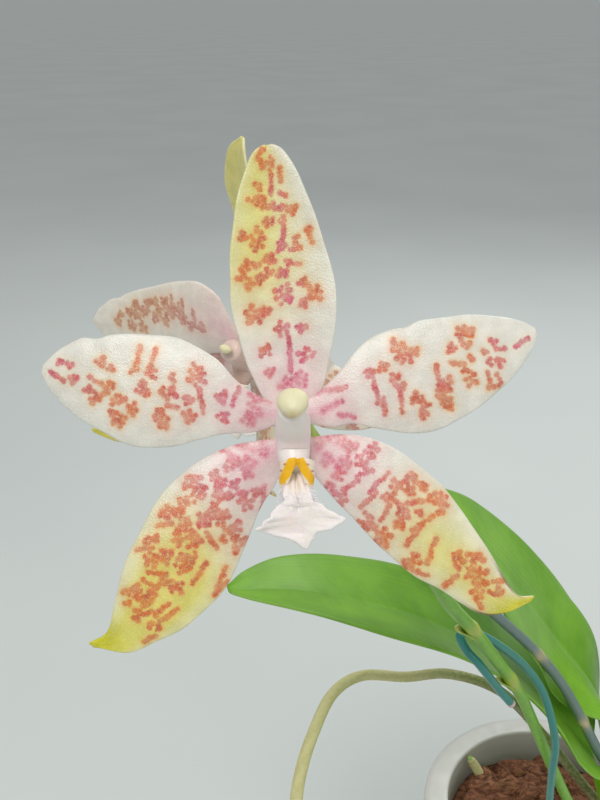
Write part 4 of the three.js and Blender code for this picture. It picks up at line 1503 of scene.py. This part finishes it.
RIGHT_LATERAL_MARKS = Marks(
    blots=[
        (323, 437, 9), (340, 437, 8), (319, 446, 4), (351, 448, 8), (363, 460, 9), (373, 451, 8),
        (345, 465, 9), (328, 460, 7), (338, 475, 7), (329, 485, 5), (334, 492, 4), (341, 499, 8),
        (395, 486, 8), (410, 481, 9), (409, 491, 6), (422, 486, 6), (389, 498, 8), (399, 504, 5),
        (418, 511, 5), (439, 499, 8), (442, 507, 6), (363, 526, 8), (371, 526, 6), (403, 513, 8),
        (399, 523, 7), (383, 536, 10), (378, 543, 6), (414, 558, 8), (406, 563, 6), (457, 559, 9),
        (471, 556, 7), (479, 557, 5), (469, 567, 4), (480, 571, 7), (467, 575, 5), (474, 581, 4),
        (484, 582, 4), (496, 587, 3), (501, 592, 3), (476, 592, 8), (429, 500, 5),
    ],
    bars=[
        (356, 476, 371, 471), (376, 483, 389, 473), (343, 490, 358, 480), (370, 492, 378, 480),
        (361, 506, 376, 493), (407, 503, 421, 500), (380, 520, 389, 505), (411, 529, 436, 513),
        (406, 543, 419, 526), (434, 538, 426, 562), (413, 569, 426, 574), (444, 584, 456, 574),
        (492, 581, 502, 581), (487, 591, 497, 594), (474, 596, 481, 607), (366, 512, 372, 518),
    ],
)

PETAL_RISE = ((0, 0.6), (0.3, 1.6), (0.7, 1.2))
LATERAL_LIFT = ((0, -0.8), (0.35, 0.6), (0.75, 0.8), (1, -0.8))

DORSAL = Tepal(
    (0.1, 1.35), 40.25, 95.4, DORSAL_OUTLINE, ((0, -1.4), (0.4, -0.4), (0.8, 0.4), (1, 1.4)), 1.2,
    DORSAL_MARKS,
    red_middle=0.85, yellow=1.1, yellow_side=-0.45, keel=0.25,
)
LEFT_PETAL = Tepal(
    (-1.9, 2.1), 35.9, 168.9, LEFT_PETAL_OUTLINE, (*PETAL_RISE, (1, -1.2)), -1, LEFT_PETAL_MARKS,
    tip_magenta=0.75, notches=((0.86, 1, 0.3, 0.03), (0.79, 1, -0.3, 0.03)),
)
RIGHT_PETAL = Tepal(
    (1.4, 2.55), 36.5, 19.1, RIGHT_PETAL_OUTLINE, (*PETAL_RISE, (1, -1)), -1, RIGHT_PETAL_MARKS,
    tip_magenta=1.0, notches=((0.5, -1, -0.35, 0.03),),
)
LEFT_LATERAL = Tepal(
    (-1.8, -2.4), 40.6, -133.7, LEFT_LATERAL_OUTLINE, LATERAL_LIFT, -1.4, LEFT_LATERAL_MARKS,
    keel=0.7, yellow=1.7, yellow_side=-0.1, tip_green=1.0,
)
RIGHT_LATERAL = Tepal(
    (1.8, -2.4), 40.4, -33.9, RIGHT_LATERAL_OUTLINE, LATERAL_LIFT, -1.4, RIGHT_LATERAL_MARKS,
    keel=0.7, yellow=1.05, yellow_side=0.1, tip_green=1.0, dark_edge=0.85,
)


@dataclass
class TepalBlade:
    """Builds one tepal of one flower: its fine sheet, its ground colour and its marks."""

    tepal: Tepal
    angle: float
    start: tuple[float, float]
    lift: Stations
    twist: float
    place: Callable[[np.ndarray], np.ndarray]
    rows: int
    columns: int
    seed: int
    # How much painted shade browns and greys the ground, for a flower that stands in shade.
    painted_shade: float = 0.0

    def flat(self, u: np.ndarray, v: np.ndarray) -> tuple[np.ndarray, np.ndarray, np.ndarray]:
        """How far along and beside its axis each point lies, and the half-width there.

        Args:
            u: places from 0 at the base to 1 at the tip.
            v: places from -1 to 1 across.

        Returns:
            The place along the axis, the place beside it and the half-width.
        """
        t = self.tepal
        left, right = along(t.outline, u, 1), along(t.outline, u, 2)
        for where, side, size, width in t.notches:
            dent = size * bell(u, where, width)
            left, right = (left + dent, right) if side < 0 else (left, right + dent)
        waver = 0.07 * np.sin(31 * u + self.seed) * smooth(0.05, 0.2, u) * smooth(1.0, 0.9, u)
        left, right = left + waver, right - 0.7 * waver
        half = (left + right) / 2
        return t.length * u, (left - right) / 2 - v * half, half

    def surface(self, u: np.ndarray, v: np.ndarray) -> np.ndarray:
        """The tepal's middle surface, in the plant's frame.

        Args:
            u: places from 0 at the base to 1 at the tip.
            v: places from -1 to 1 across.

        Returns:
            A point for each place, in the plant's frame.
        """
        t = self.tepal
        forward, beside, half = self.flat(u, v)
        turn = np.radians(self.twist * np.minimum(1, 2 * u))
        centre = beside + v * half
        beside = centre - v * half * np.cos(turn)
        dx, dy = math.cos(math.radians(self.angle)), math.sin(math.radians(self.angle))
        x = self.start[0] + dx * forward - dy * beside
        y = self.start[1] + dy * forward + dx * beside
        cup = t.cup * v * v * half / 8
        crease = t.keel * (np.abs(v) - 0.4) * smooth(0.35, 0.9, u) * half / 5
        ripple = 0.16 * np.sin(13 * u + 2.5 * v + self.seed) * np.abs(v) ** 1.5 * smooth(0.1, 0.3, u)
        z = along(self.lift, u) + cup + crease + ripple + v * half * np.sin(turn)
        return self.place(np.stack([x, y, z], axis=-1))

    def local(self, x: float, y: float) -> tuple[float, float]:
        """Turns a pixel of the picture into a place along and beside the tepal's axis.

        Args:
            x: the pixel's column.
            y: the pixel's row.

        Returns:
            The place along the axis and the place beside it.
        """
        t = self.tepal
        px = (x - PICTURE_CENTRE[0]) * MM_PER_PIXEL - t.start[0]
        py = (PICTURE_CENTRE[1] - y) * MM_PER_PIXEL - t.start[1]
        dx, dy = math.cos(math.radians(t.angle)), math.sin(math.radians(t.angle))
        return px * dx + py * dy, -px * dy + py * dx

    def spots(self) -> np.ndarray:
        """Breaks every blot and bar into small round spots.

        Returns:
            Rows of place along, place beside and radius.
        """
        rng = np.random.default_rng(self.seed)
        rows = []
        for x, y, size in self.tepal.marks.blots:
            a, b = self.local(x, y)
            r = size * MM_PER_PIXEL
            count = max(2, int(round(1 + BLOT_DENSITY * r * r)))
            first = rng.uniform(0, 2 * math.pi)
            for k in range(count):
                angle = first + GOLDEN_ANGLE * k + rng.uniform(-0.3, 0.3)
                reach = 1.1 * max(r - 0.2, 0.25) * math.sqrt((k + 0.5) / count) * rng.uniform(0.9, 1.12)
                rows.append((a + reach * math.cos(angle), b + reach * math.sin(angle),
                             rng.uniform(*BLOT_RADII)))
        for x0, y0, x1, y1 in self.tepal.marks.bars:
            (a0, b0), (a1, b1) = self.local(x0, y0), self.local(x1, y1)
            count = max(2, int(round(math.hypot(a1 - a0, b1 - b0) / BAR_STEP)) + 1)
            for w in np.linspace(0, 1, count):
                rows.append((a0 + (a1 - a0) * w + rng.uniform(-BAR_STRAY, BAR_STRAY),
                             b0 + (b1 - b0) * w + rng.uniform(-BAR_STRAY, BAR_STRAY),
                             rng.uniform(*BAR_RADII)))
        return np.array(rows)

    def nearest_spot(self, forward: np.ndarray, beside: np.ndarray) -> np.ndarray:
        """How far each point lies from its nearest spot's edge, with near spots run together.

        Args:
            forward: each point's place along the axis.
            beside: each point's place beside it.

        Returns:
            The distance for each point, below 0 inside a spot.
        """
        nearest, far, melt = np.full(len(forward), 9.0), 2.2, 0.12
        for a, b, r in self.spots():
            close = np.abs(forward - a) < far
            old, d = nearest[close], np.hypot(forward[close] - a, beside[close] - b) - r
            blend = np.clip(0.5 + 0.5 * (old - d) / melt, 0, 1)
            nearest[close] = old + (d - old) * blend - melt * blend * (1 - blend)
        return nearest

    def layers(self, sheet: Sheet) -> dict[str, np.ndarray]:
        """Works out what is stored on the mesh.

        Args:
            sheet: the built sheet, with the place of each point.

        Returns:
            The ground colour; the marks' distance, hue, softness and strength; and the veins.
        """
        t, u, v, back = self.tepal, sheet.u, sheet.v, sheet.back
        forward, beside, half = self.flat(u, v)
        nearest = self.nearest_spot(forward, beside)
        middle = bell(v, 0.05, 0.35)
        hue = 0.75 * smooth(0.42, 0.08, u) + 0.35 * middle * smooth(0.8, 0.4, u)
        hue = hue + t.red_middle * bell(v, 0.12, 0.25) * smooth(1.0, 0.8, u)
        hue = hue + t.tip_magenta * smooth(0.7, 0.9, u) + (0.12 if t.tip_magenta else 0.0)
        patch = np.sin(0.9 * forward + 1.1 * self.seed) * np.sin(0.8 * beside + 2 * self.seed)
        hue = np.clip(hue + 0.28 * patch, 0, 1)
        soft = 0.7 * smooth(0.22, 0.05, u) + 0.12
        strength = (0.82 + 0.18 * smooth(0.05, 0.3, u)) * (1 - 0.55 * back)
        strength = strength * (0.86 + 0.14 * np.sin(1.3 * forward + 2 * beside))
        near = np.exp(-np.maximum(nearest, 0) / 0.9)
        halo = np.exp(-np.maximum(nearest, 0) / 0.4) * smooth(0.22, 0.5, u) * (1 - 0.6 * hue)
        yellow = smooth(0.22, 0.62, u) * bell(v, t.yellow_side, 0.95)
        edge = smooth(0.82, 0.94, np.abs(v)) * bell(u, 0.88, 0.07)
        ground = layered(
            len(u), (0.69, 0.675, 0.605),
            ((0.68, 0.68, 0.62), 0.35 * smooth(0.55, 1.0, np.abs(v))),
            ((0.64, 0.61, 0.14), 0.8 * t.yellow * yellow),
            ((0.52, 0.5, 0.015), t.tip_green * smooth(0.84, 0.97, u + 0.04 * v)),
            ((0.78, 0.4, 0.42), 0.34 * near * smooth(0.75, 0.2, u)),
            ((0.7, 0.4, 0.1), 0.6 * halo),
            ((0.07, 0.025, 0.015), t.dark_edge * edge),
            ((0.76, 0.3, 0.46), 0.5 * smooth(0.34, 0.02, u) * (0.55 + 0.45 * middle)),
            # Painted shade: a greyer, browner ground for a flower that stands in shade.
            ((0.72, 0.55, 0.42), self.painted_shade * (0.1 + 0.3 * near)),
            ((0.74, 0.7, 0.55), 0.4 * back),
        )
        veins = 0.5 + 0.5 * np.sin(9 * math.pi * v * (0.4 + 0.6 * half / 8))
        marks = np.stack([np.clip((nearest + 1) / 2, 0, 1), hue, soft, strength], axis=1)
        return {"ground": ground, "marks": marks, "vein": veins**4 + 0.8 * bell(v, 0, 0.03)}

    def build(self, name: str, material: bpy.types.Material, node: str) -> None:
        """Makes and dresses the tepal.

        Args:
            name: the piece's name.
            material: the finish.
            node: the node it replaces.
        """
        sheet = Sheet(self.surface, self.rows, self.columns, TEPAL_THICKNESS, edge=0.3, roundness=8.0)
        item = sheet.build(name)
        for layer, values in self.layers(sheet).items():
            paint(item, layer, values)
        dress(item, material, "tepal", node)


TEPALS = {
    "dorsal_sepal": DORSAL,
    "petal_left": LEFT_PETAL,
    "petal_right": RIGHT_PETAL,
    "lateral_sepal_left": LEFT_LATERAL,
    "lateral_sepal_right": RIGHT_LATERAL,
}
# Browner, less vivid marks for a flower that stands in shade: painted shade.
SHADED_MARKS = {
    "bar": (0.5, 0.2, 0.09),
    "magenta": (0.55, 0.19, 0.17),
    "heart": (0.45, 0.16, 0.07),
    "strength": 0.85,
}
STANCE = ("angle", "start", "lift", "twist")


@dataclass
class Flower:
    """One flower, placed and turned: tepals, column, anther cap and lip."""

    word: str
    centre: tuple[float, float, float]
    turn: float
    rise: float
    roll: float
    changes: dict[str, dict[str, object]] = field(default_factory=dict)
    fineness: float = 1.0
    # How much painted shade browns the flower's colours, for a flower that stands in shade.
    painted_shade: float = 0.0
    first_seed: int = 20
    cap_size: tuple[float, float, float] = (1.0, 1.0, 1.0)
    rows: int = 210
    columns: int = 78
    hairs: int = 760
    comb_hairs: int = 420

    def __post_init__(self) -> None:
        """Works out the flower's frame."""
        self.frame = (
            Matrix.Translation(self.centre)
            @ Matrix.Rotation(-math.radians(self.turn), 4, "Z")
            @ Matrix.Rotation(math.radians(90 - self.rise), 4, "X")
            @ Matrix.Rotation(math.radians(self.roll), 4, "Z")
        )

    def place(self, points: np.ndarray) -> np.ndarray:
        """Moves points from the flower's frame to the plant's."""
        grid = np.array(self.frame)
        return points @ grid[:3, :3].T + grid[:3, 3]

    def build(self) -> None:
        """Makes the whole flower."""
        # A flower in shade gets painted shade in its marks.
        marks = SHADED_MARKS if self.painted_shade else {}
        skin = TepalFinish(f"tepal_skin_{self.word}", **marks).build()
        for number, (name, tepal) in enumerate(TEPALS.items()):
            change = self.changes.get(name, {})
            stance = {key: change.get(key, getattr(tepal, key)) for key in STANCE}
            blade = TepalBlade(
                replace(tepal, **change.get("form", {})), **stance, place=self.place, painted_shade=self.painted_shade,
                rows=self.fine(self.rows), columns=self.fine(self.columns), seed=self.first_seed + number,
            )
            blade.build(f"{name}_{self.word}_blade", skin, f"{name}_{self.word}")
        self.column()
        self.anther_cap()
        self.lip()
        self.lip_side_lobes()

    def fine(self, count: int) -> int:
        """A count of rows or hairs, lowered for a flower with less detail."""
        return int(count * self.fineness)

    def skin(self, part: str, *sizes: object) -> bpy.types.Material:
        """Makes the finish of one of the flower's pieces.

        Args:
            part: the piece's plain name.
            sizes: the finish's values, in order.

        Returns:
            The material.
        """
        return TissueFinish(f"{part}_skin_{self.word}", *sizes).build()

    def placed_points(self, points: Stations) -> list[tuple[float, float, float]]:
        """Moves a short list of points to the plant's frame."""
        return [tuple(point) for point in self.place(np.array(points, float))]

    def column(self) -> None:
        """Makes the column, its foot and its stub."""
        shaft = [(0.26, -5.49, 3.07), (0, -3, 1.3), (0, -0.6, 1.9), (0, 1.4, 4), (0, 2.98, 6.31)]
        radii = [(0, 1.6), (0.12, 2.15), (0.25, 2.45), (0.5, 2.55), (0.75, 2.45), (1, 2.1)]
        stub = [(0, -0.5, -2.2), (0, -0.5, -0.6), (0, -0.5, 1.2)]
        skin = self.skin("column", 1500, 0.1, (0.95, 0.85, 0.86), 2500, 0.15, 0.0001, 0.4, 0.5, 0.3)
        main, t, _ = stalk(f"column_{self.word}_fine", self.placed_points(shaft), radii, 40, 28)
        # The column of a flower in shade is browned: painted shade.
        flush, shade_tint = 0.3 * bell(t, 0.45, 0.2), np.full(len(t), 0.7 * self.painted_shade)
        tones = layered(len(t), (0.86, 0.81, 0.78), ((0.8, 0.6, 0.66), flush), ((0.6, 0.38, 0.33), shade_tint))
        paint(main, "tone", tones)
        dress(main, skin, "column_pink", f"column_{self.word}")
        back, t, _ = stalk(f"column_stub_{self.word}", self.placed_points(stub), [(0, 1.3), (1, 1.5)], 10, 24)
        paint(back, "tone", layered(len(t), (0.7, 0.66, 0.5)))
        dress(back, skin, "column_pink")

    def anther_cap(self) -> None:
        """Makes the pale cap with its two lobes and small beak."""
        wide, high, deep, tilt = 2.1, 2.15, 1.6, -math.radians(35)
        rings, columns = 39, 56
        theta = np.linspace(0, math.pi, rings + 2)[1:-1]
        phi = np.linspace(0, 2 * math.pi, columns, endpoint=False)
        th, ph = (grid.ravel() for grid in np.meshgrid(theta, phi, indexing="ij"))
        x, y, z = np.sin(th) * np.cos(ph), np.sin(th) * np.sin(ph), np.cos(th)
        beak = 0.16 * bell(x, 0, 0.3) * smooth(-0.45, -1.0, y)
        cleft = 0.05 * bell(x, 0, 0.1) * smooth(0.1, 0.8, z)
        size, brow = 1 + beak - cleft, 1 + 0.1 * smooth(-0.9, 0.6, y)
        points = np.stack([wide * x * size * brow, high * y * size, deep * z * size], axis=1)
        points = np.vstack([points, [[0, 0, deep]], [[0, 0, -deep]]]) * self.cap_size
        points = turned_about(points, np.array([[1.0, 0.0, 0.0]]), np.array([tilt]))
        top = rings * columns
        faces = band(0, rings, columns, True) + fan(top, 0, columns)
        faces += fan(top + 1, top - columns, columns, True)
        cap = mesh_object(f"anther_cap_{self.word}_fine", self.place(points + (0, 4.1, 8)), faces)
        # Tan at the cap's lower middle, by the beak: partly its own tan, partly painted shade on its
        # underside.
        tan_and_shade_below = 0.6 * bell(points[:, 0], 0, 0.6) * smooth(-0.4, -1.6, points[:, 1])
        paint(cap, "tone", layered(len(points), (0.76, 0.71, 0.48), ((0.5, 0.34, 0.13), tan_and_shade_below)))
        skin = self.skin("anther_cap", 900, 0.12, (0.8, 0.78, 0.55), 1800, 0.2, 0.0001, 0.48, 0.45, 0.3)
        dress(cap, skin, "anther_cap", f"anther_cap_{self.word}")

    def lip(self) -> None:
        """Makes the anchor-shaped lip and its hairs."""
        points = [(0.3, -5.9, 3.4), (0.4, -7.2, 5.2), (0.6, -8.8, 6.6), (0.85, -10.7, 7.45),
                  (1.15, -12.5, 7.5), (1.5, -14.6, 6.95), (1.75, -16.4, 6.3)]
        edges = [(5.9, 0.9, 0.9), (7.2, 1.6, 1.6), (8.8, 2.05, 2.05), (9.6, 1.92, 2.19), (10, 2.5, 3.1),
                 (10.4, 3.1, 3.6), (10.9, 3.55, 4.15), (11.6, 4.1, 5.5), (11.85, 4.3, 6.4), (12.25, 4.9, 5.7),
                 (12.95, 5.8, 4.6), (13.25, 6.5, 4.1), (13.7, 5.8, 2.45), (14.5, 4.2, 1.5), (14.8, 2.6, 1.4),
                 (15.3, 1.6, 1.05), (15.9, 0.75, 0.7), (16.4, 0.3, 0.3)]

        def surface(u: np.ndarray, v: np.ndarray) -> np.ndarray:
            """The lip's middle surface, with a ridge down it and ragged edges.

            Args:
                u: places from 0 at the base to 1 at the tip.
                v: places from -1 to 1 across.

            Returns:
                A point for each place, in the plant's frame.
            """
            centre, heading = route(points, u)
            depth = -centre[:, 1]
            left, right = along(edges, depth, 1), along(edges, depth, 2)
            frill = 1 + 0.035 * np.sin(60 * u) * smooth(0.3, 0.6, u)
            x = centre[:, 0] - np.where(v > 0, v * left, v * right) * frill
            outward = unit(np.cross([1.0, 0.0, 0.0], heading))
            wide = (left + right) / 2
            ridge = 0.35 * bell(v, 0, 0.3) * smooth(1.0, 0.7, u) + 0.8 * (1 - v * v) * np.minimum(1, wide / 3)
            curl = -0.9 * np.abs(v) ** 3 * smooth(3.0, 6.0, wide)
            placed = np.stack([x, centre[:, 1], centre[:, 2]], axis=1) + outward * (ridge + curl)[:, None]
            return self.place(placed)

        sheet = Sheet(surface, self.fine(130), self.fine(54), TEPAL_THICKNESS, edge=0.3)
        lip = sheet.build(f"lip_{self.word}_blade")
        u, v = sheet.u, sheet.v
        flush = 0.35 * bell(v, 0.3, 0.35) * bell(u, 0.65, 0.2)
        claw = 0.45 * smooth(0.34, 0.2, u) * (0.5 + 0.5 * np.sin(14 * v))
        tones = layered(len(u), (0.86, 0.8, 0.77), ((0.78, 0.6, 0.62), flush), ((0.6, 0.36, 0.16), claw))
        paint(lip, "tone", tones)
        skin = self.skin("lip", 1300, 0.12, (0.9, 0.86, 0.88), 1500, 0.4, 0.0003, 0.6, 0.3, 0.4)
        dress(lip, skin, "lip_white", f"lip_{self.word}")
        self.lip_hairs(surface, skin)

    def lip_hairs(self, surface: Surface, skin: bpy.types.Material) -> None:
        """Grows the lip's comb and its loose hairs with geometry nodes, one curve to a hair.

        Args:
            surface: the lip's middle surface, on which the hairs root.
            skin: the lip's finish.
        """
        rng = np.random.default_rng(self.first_seed + 9)
        count, comb_count = self.fine(self.hairs), self.fine(self.comb_hairs)
        comb_u = rng.uniform(0.19, 0.35, count)
        u = np.where(np.arange(count) < comb_count, comb_u, 0.27 + 0.5 * rng.random(count) ** 1.5)
        v = rng.uniform(-1, 1, count) * (1 - 0.35 * smooth(0.4, 0.75, u))
        roots = surface(u, v)
        side, up, out = np.array(self.frame.to_3x3()).T
        steps = np.linspace(0, 1, 6)[:, None]
        lines = []
        for k in range(count):
            comb = k < comb_count
            if comb:
                length, droop, splay, radius = rng.uniform(0.9, 1.5), rng.uniform(0.4, 1.1), 0.5, 0.085
            else:
                length, droop = rng.uniform(0.6, 1.2) * (1.2 if u[k] < 0.45 else 0.6), rng.uniform(-0.35, 0.5)
                splay, radius = 1.0, 0.055
            sideways = splay * v[k] + rng.uniform(-0.25, 0.25)
            lean = unit(out * (0.8 - 0.3 * abs(v[k])) - up * droop - side * sideways)
            bend = side * rng.uniform(-0.45, 0.45) - up * rng.uniform(-0.2, 0.7)
            line = roots[k] + lean * length * steps + bend * length * 0.6 * steps**2
            lines.append((line, (1 - 0.8 * steps[:, 0]) * radius))
        hairs = tube(f"lip_hairs_{self.word}", lines, 4)
        paint(hairs, "tone", layered(len(hairs.data.vertices), (0.96, 0.93, 0.93)))
        dress(hairs, skin, "lip_white")

    def lip_side_lobes(self) -> None:
        """Makes the two upright side lobes, joined over the lip's claw."""

        def flat(u: np.ndarray, v: np.ndarray) -> np.ndarray:
            """A sheet that runs from the left lobe over the claw to the right lobe, in the flower's frame.

            Args:
                u: places from 0 at the left lobe to 1 at the right lobe.
                v: places from -1 at the lower edge to 1 at the upper edge.

            Returns:
                A point for each place, in the flower's frame.
            """
            w = 2 * u - 1
            x = 0.6 + 2.45 * np.sin(w * 1.25) + 0.1 * v
            top = -3.65 - 0.7 * w * w - 0.45 * bell(w, 0, 0.07)
            low = -4.6 - 4.2 * smooth(0.0, 0.66, np.abs(w)) + 2.1 * np.abs(w) ** 6
            y = low + (top - low) * (v + 1) / 2
            z = 6.0 - 1.5 * np.abs(w) ** 2.2 + 0.25 * v - 0.35 * bell(w, 0, 0.12)
            return np.stack([x, y, z], axis=-1)

        def surface(u: np.ndarray, v: np.ndarray) -> np.ndarray:
            """The same sheet in the plant's frame."""
            return self.place(flat(u, v))

        sheet = Sheet(surface, self.fine(110), self.fine(40), LOBE_THICKNESS, edge=0.4)
        lobes = sheet.build(f"lip_side_lobes_{self.word}_blade")
        x, y, _ = flat(sheet.u, sheet.v).T
        down = np.clip((-3.5 - y) / 3.6, 0, 1)
        off = np.minimum(np.abs(x - 0.35 + 1.75 * down), np.abs(x - 0.6 - 2.0 * down))
        orange = smooth(0.92, 0.74, off + 0.35 * down) * smooth(-7.7, -7.3, y)
        rim = bell(off, 0.8, 0.16) * smooth(0.2, 0.8, np.sin(6.5 * y)) * smooth(0.9, 1.5, np.abs(x - 0.6))
        tones = layered(
            len(x), (0.82, 0.72, 0.64), ((0.88, 0.46, 0.002), orange), ((0.4, 0.05, 0.01), 0.85 * rim)
        )
        paint(lobes, "tone", tones)
        skin = self.skin("lip_lobe", 1600, 0.12, (0.95, 0.75, 0.2), 2200, 0.25, 0.0002, 0.42, 0.45, 0.25)
        dress(lobes, skin, "lip_lobe_orange", f"lip_side_lobes_{self.word}")

    def pedicel(self, rest: Stations, material: bpy.types.Material) -> None:
        """Makes the pedicel with its ovary, from behind the column to the spike.

        Args:
            rest: the route's points from the ovary to the spike.
            material: the finish.
        """
        points = [*self.placed_points([(0, -0.5, -2.5), (0, -0.5, -5.5)]), *rest]
        radii = [(0, 1.5), (0.25, 1.8), (0.5, 1.4), (1, 1.2)]
        stem = Stalk(f"pedicel_{self.word}", "spike_green", Tone.PEDICEL, points, radii, 40, rings=(0.62,))
        stem.build(material)


FRONT_FLOWER = Flower("front", (-105, -154.2, 344.3), 0, 24, 0)
REAR_DORSAL_OUTLINE = [(0, 1.7, 1.7), (0.08, 2.2, 4.2), (0.25, 2.4, 6.5), (0.42, 3.2, 7.9), (0.55, 4.6, 7.5),
                       (0.66, 5.9, 6.5), (0.75, 6.9, 5), (0.86, 6, 3.4), (0.95, 3.6, 1.8), (1, 0.5, 0.5)]
REAR_PETAL_OUTLINE = [(0, 1.3, 1.5), (0.05, 2.3, 5), (0.1, 3.2, 8.4), (0.2, 4, 10.8), (0.3, 5.7, 11),
                      (0.45, 7.9, 9.9), (0.57, 8.4, 8.7), (0.72, 7.1, 7), (0.85, 5.3, 5), (0.94, 3.2, 3.2),
                      (1, 0.5, 0.5)]
# These stand where the front flower's own left petal has its marks.
REAR_PETAL_MARKS = Marks(
    blots=[
        (150, 352, 8), (140, 362, 9), (128, 352, 7), (125, 366, 8), (112, 360, 7), (165, 350, 7),
        (168, 362, 8), (158, 372, 9), (180, 352, 8), (186, 366, 9), (175, 378, 8), (200, 360, 8),
        (205, 376, 9), (215, 388, 8), (230, 392, 8), (95, 362, 6), (88, 372, 7), (110, 380, 9),
        (130, 384, 9),
    ],
    bars=[(195, 345, 190, 375), (212, 352, 208, 380), (226, 366, 222, 390)],
)
REAR_CHANGES = {
    "dorsal_sepal": {
        "angle": 92, "twist": 32,
        "form": {"outline": REAR_DORSAL_OUTLINE, "yellow": 2.5, "yellow_side": 0.0, "marks": Marks((), ())},
    },
    "petal_left": {
        "angle": 189.5, "start": (-1.95, 2.1), "lift": ((0, 0.6), (0.3, 1.6), (0.7, 1.6), (1, 2)),
        "form": {"outline": REAR_PETAL_OUTLINE, "tip_magenta": 0.2, "marks": REAR_PETAL_MARKS},
    },
    "petal_right": {"angle": -20, "twist": 75, "start": (1.75, 2.45), "form": {"length": 28.0}},
    "lateral_sepal_left": {"angle": -143, "lift": ((0, -0.8), (0.25, -2.2), (0.5, -1), (0.75, 4), (1, 8.5))},
    "lateral_sepal_right": {
        "angle": -80, "twist": -45, "lift": ((0, -1), (0.35, 0.6), (0.75, 0.8), (1, -0.8)),
        "form": {"length": 31.0},
    },
}
# The rear flower stands in shade, so its colours carry painted shade.
REAR_FLOWER = Flower("rear", (-114, -109.5, 339.6), 30, -5.5, -6.5, REAR_CHANGES, fineness=0.62, painted_shade=1.0,
                     first_seed=60, cap_size=(0.55, 0.36, 0.6))
FRONT_PEDICEL = [(-104.6, -146, 340), (-103, -139, 334.5), (-99.5, -132, 328), (-94.5, -125, 320),
                 (-89, -117.9, 310.8)]
REAR_PEDICEL = [(-107.5, -100.5, 337), (-105, -96, 328), (-102.5, -96, 317), (-93, -101, 307),
                (-83.5, -109.2, 303.2)]
PEDICEL_SKIN = TissueFinish("pedicel_skin", 600, 0.2, (0.6, 0.66, 0.25), 1500, 0.2, 0.0002, 0.4)

def main() -> None:
    """Builds every piece in order."""
    logging.basicConfig(level=logging.INFO, format="%(message)s")
    bpy.context.scene.view_settings.view_transform = "Standard"
    Stage().build()
    pot = Pot()
    pot.build()
    BarkMix(pot).build()
    build_stalks()
    leaf_skin = LEAF_FINISH.build()
    for leaf in LEAVES:
        leaf.build(leaf_skin)
    pedicel_skin = PEDICEL_SKIN.build()
    for flower, rest in ((FRONT_FLOWER, FRONT_PEDICEL), (REAR_FLOWER, REAR_PEDICEL)):
        flower.build()
        flower.pedicel(rest, pedicel_skin)
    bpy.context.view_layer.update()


if __name__ == "__main__":
    main()
